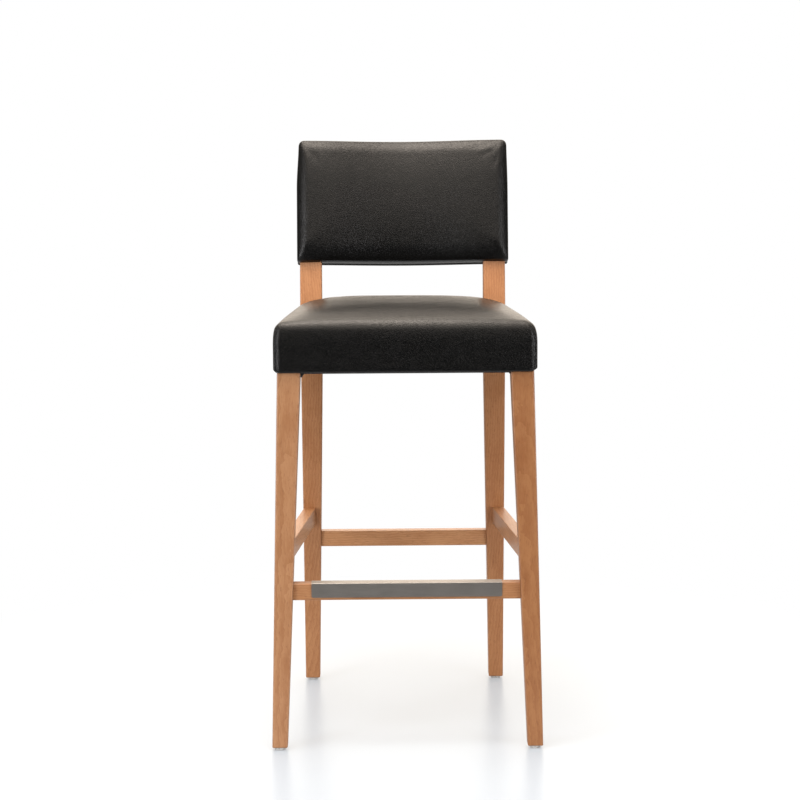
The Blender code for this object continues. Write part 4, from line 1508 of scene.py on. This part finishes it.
    def make_panel(self) -> None:
        """Makes the leather panel that closes the back from behind."""
        margin = self.panel_margin + CLEARANCE
        low = (margin - self.half, self.frame_rear + 3 * CLEARANCE, margin)
        high = (self.half - margin, self.thickness, self.height - margin)
        bm = box_between(low, high)
        rounded(bm, self.panel_corner, 2, partial(runs_along, 1))
        rounded(bm, self.panel_edge, self.segments, edges_round((0, 1, 0)))
        for axis in (0, 2):
            cut_at(bm, axis, steps(low[axis] + self.panel_rim, high[axis] - self.panel_rim,
                                   self.pitch))
        bm = moved(refined(bm), self.place)
        panel = new_piece("outside_back_panel", bm, self.leather)
        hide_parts("outside_back")
        log.info("outside back panel: %d faces", len(panel.data.polygons))


# Studio


@dataclass(frozen=True)
class SoftBox:
    """Square soft lamp that points at the stool."""

    name: str
    place: Point
    size: float
    power: float
    colour: Colour = (0.95, 0.99, 1.06)


@dataclass(frozen=True)
class Glow:
    """Part of the room that lights the stool, brightest towards one direction."""

    towards: Point
    start: float
    end: float
    colour: Colour


@dataclass
class Studio:
    """Camera of the photograph, soft lamps, white floor and surroundings."""

    camera_place: Point = (-0.0461, -3.9879, 1.1192)
    camera_aim: Point = (0.00945, 0.99190, -0.12672)
    camera_roll: float = math.radians(-0.341)
    lens: float = 94.70
    sensor: float = 36
    target: Point = (0, 0, 0.65)
    lamps: tuple[SoftBox, ...] = (
        SoftBox("key_lamp", (-2.9, -2.6, 0.8), 1.3, 76),
        SoftBox("fill_lamp", (3.0, -2.5, 0.7), 1.3, 58),
        SoftBox("front_lamp", (0.0, -2.7, 2.75), 2.3, 30, (1, 0.97, 0.94)),
        SoftBox("top_lamp", (-0.25, -0.3, 2.7), 1.2, 60, (1, 0.93, 0.86)),
    )
    room_base: Colour = (0.008, 0.010, 0.012)
    glows: tuple[Glow, ...] = (
        Glow((0, 0, 1), -0.04, 0.90, (1.10, 1.02, 0.93)),
        Glow((0, -0.45, 0.89), 0.60, 1.0, (0.25, 0.23, 0.21)),
        Glow((0.04, 0.985, 0.12), 0.35, 0.95, (0.40, 0.35, 0.30)),
        Glow((0.10, 0.80, 0.58), 0.68, 1.0, (2.10, 1.83, 1.53)),
    )
    floor_radius: float = 1.6
    floor_centre: float = 0.4
    floor_colour: Colour = (0.240, 0.278, 0.322)
    floor_lift: float = 0.335
    floor_clear: Pair = (0.75, 1.25)

    def build(self) -> None:
        """Makes the camera, the lamps, the floor and the surroundings."""
        self.make_camera()
        for lamp in self.lamps:
            self.make_lamp(lamp)
        self.make_floor()
        self.make_surroundings()
        log.info("studio: camera, %d lamps, floor and surroundings", len(self.lamps))

    def make_camera(self) -> None:
        """Makes the camera that sees the stool as the photograph does."""
        data = bpy.data.cameras.new("camera")
        data.lens = self.lens
        data.sensor_width = self.sensor
        camera = placed("camera", data)
        facing = Vector(self.camera_aim).normalized().to_track_quat("-Z", "Y")
        camera.matrix_world = (Matrix.Translation(self.camera_place) @ facing.to_matrix().to_4x4()
                               @ Matrix.Rotation(self.camera_roll, 4, "Z"))
        bpy.context.scene.camera = camera

    def make_lamp(self, lamp: SoftBox) -> None:
        """Makes a soft lamp.

        Args:
            lamp: Its place, size and light.
        """
        data = bpy.data.lights.new(lamp.name, "AREA")
        data.shape = "SQUARE"
        data.size = lamp.size
        data.energy = lamp.power
        data.color = lamp.colour
        made = placed(lamp.name, data)
        made.location = lamp.place
        made.rotation_mode = "QUATERNION"
        aim = Vector(self.target) - Vector(lamp.place)
        made.rotation_quaternion = aim.to_track_quat("-Z", "Y")

    def make_floor(self) -> None:
        """Makes the round floor, which keeps the stool's soft shadow and fades to white."""
        bm = bmesh.new()
        bmesh.ops.create_circle(bm, cap_ends=True, segments=96, radius=self.floor_radius)
        bmesh.ops.translate(bm, vec=(0, self.floor_centre, 0), verts=bm.verts)
        floor = placed("floor", mesh_of("floor", bm))
        pattern = Pattern("white_floor", Base_Color=self.floor_colour, Roughness=0.30,
                          Specular_IOR_Level=0.12)

        def white(strength: Socket) -> Socket:
            """White glow of a strength."""
            return pattern.node("Emission", {"Color": WHITE, "Strength": strength}).outputs[0]

        rays = pattern.node("LightPath", {}).outputs
        seen = pattern.maths("MAXIMUM", rays["Is Camera Ray"], rays["Is Glossy Ray"])
        lift = white(pattern.maths("MULTIPLY", seen, self.floor_lift))
        lifted = pattern.node("AddShader", {0: pattern.shader.outputs[0], 1: lift})
        distance = pattern.node("VectorMath", {0: pattern.places()}, operation="LENGTH")
        beyond = pattern.spread(distance.outputs["Value"], *self.floor_clear)
        faded = pattern.node("MixShader", {0: beyond, 1: lifted.outputs[0], 2: white(seen)})
        below = pattern.node("NewGeometry", {}).outputs["Backfacing"]
        clear = pattern.node("BsdfTransparent", {})
        surface = pattern.node("MixShader", {0: below, 1: faded.outputs[0], 2: clear.outputs[0]})
        output = pattern.tree.nodes["Material Output"]
        pattern.tree.links.new(surface.outputs[0], output.inputs["Surface"])
        floor.data.materials.append(pattern.material)

    def make_surroundings(self) -> None:
        """Makes a white backdrop for the camera, and the room whose glows light the stool."""
        world = bpy.data.worlds.new("surroundings")
        world.use_nodes = True
        bpy.context.scene.world = world
        room = Nodes(world.node_tree)
        room.tree.nodes.clear()
        direction = room.node("TexCoord", {}).outputs["Generated"]
        light = self.room_base
        for glow in self.glows:
            facing = room.vectors("DOT_PRODUCT", direction, glow.towards).outputs["Value"]
            share = room.spread(facing, glow.start, glow.end)
            light = room.vectors("MULTIPLY_ADD", glow.colour, share, light).outputs[0]
        seen = room.node("LightPath", {}).outputs["Is Camera Ray"]
        colour = room.blended(seen, light, WHITE[:3])
        shone = room.node("Background", {"Color": colour})
        room.node("OutputWorld", {"Surface": shone.outputs[0]})


def main() -> None:
    """Dresses the stool and sets up its studio."""
    logging.basicConfig(level=logging.INFO, format="%(name)s: %(message)s")
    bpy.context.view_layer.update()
    bpy.context.scene.view_settings.view_transform = "Standard"
    WoodenFrame().dress()
    hardware = Hardware()
    hardware.dress()
    InnerTimber().dress()
    solids = Solids()
    leather = LeatherFinish("black_leather").material()
    seat = SeatCushion(solids, leather)
    seat.build()
    LegTucks(solids, leather).build()
    SeatLining(seat, LiningFinish("black_lining").material(), hardware.zinc.material()).build()
    BackCushion(solids, leather).build()
    Studio().build()


if __name__ == "__main__":
    main()
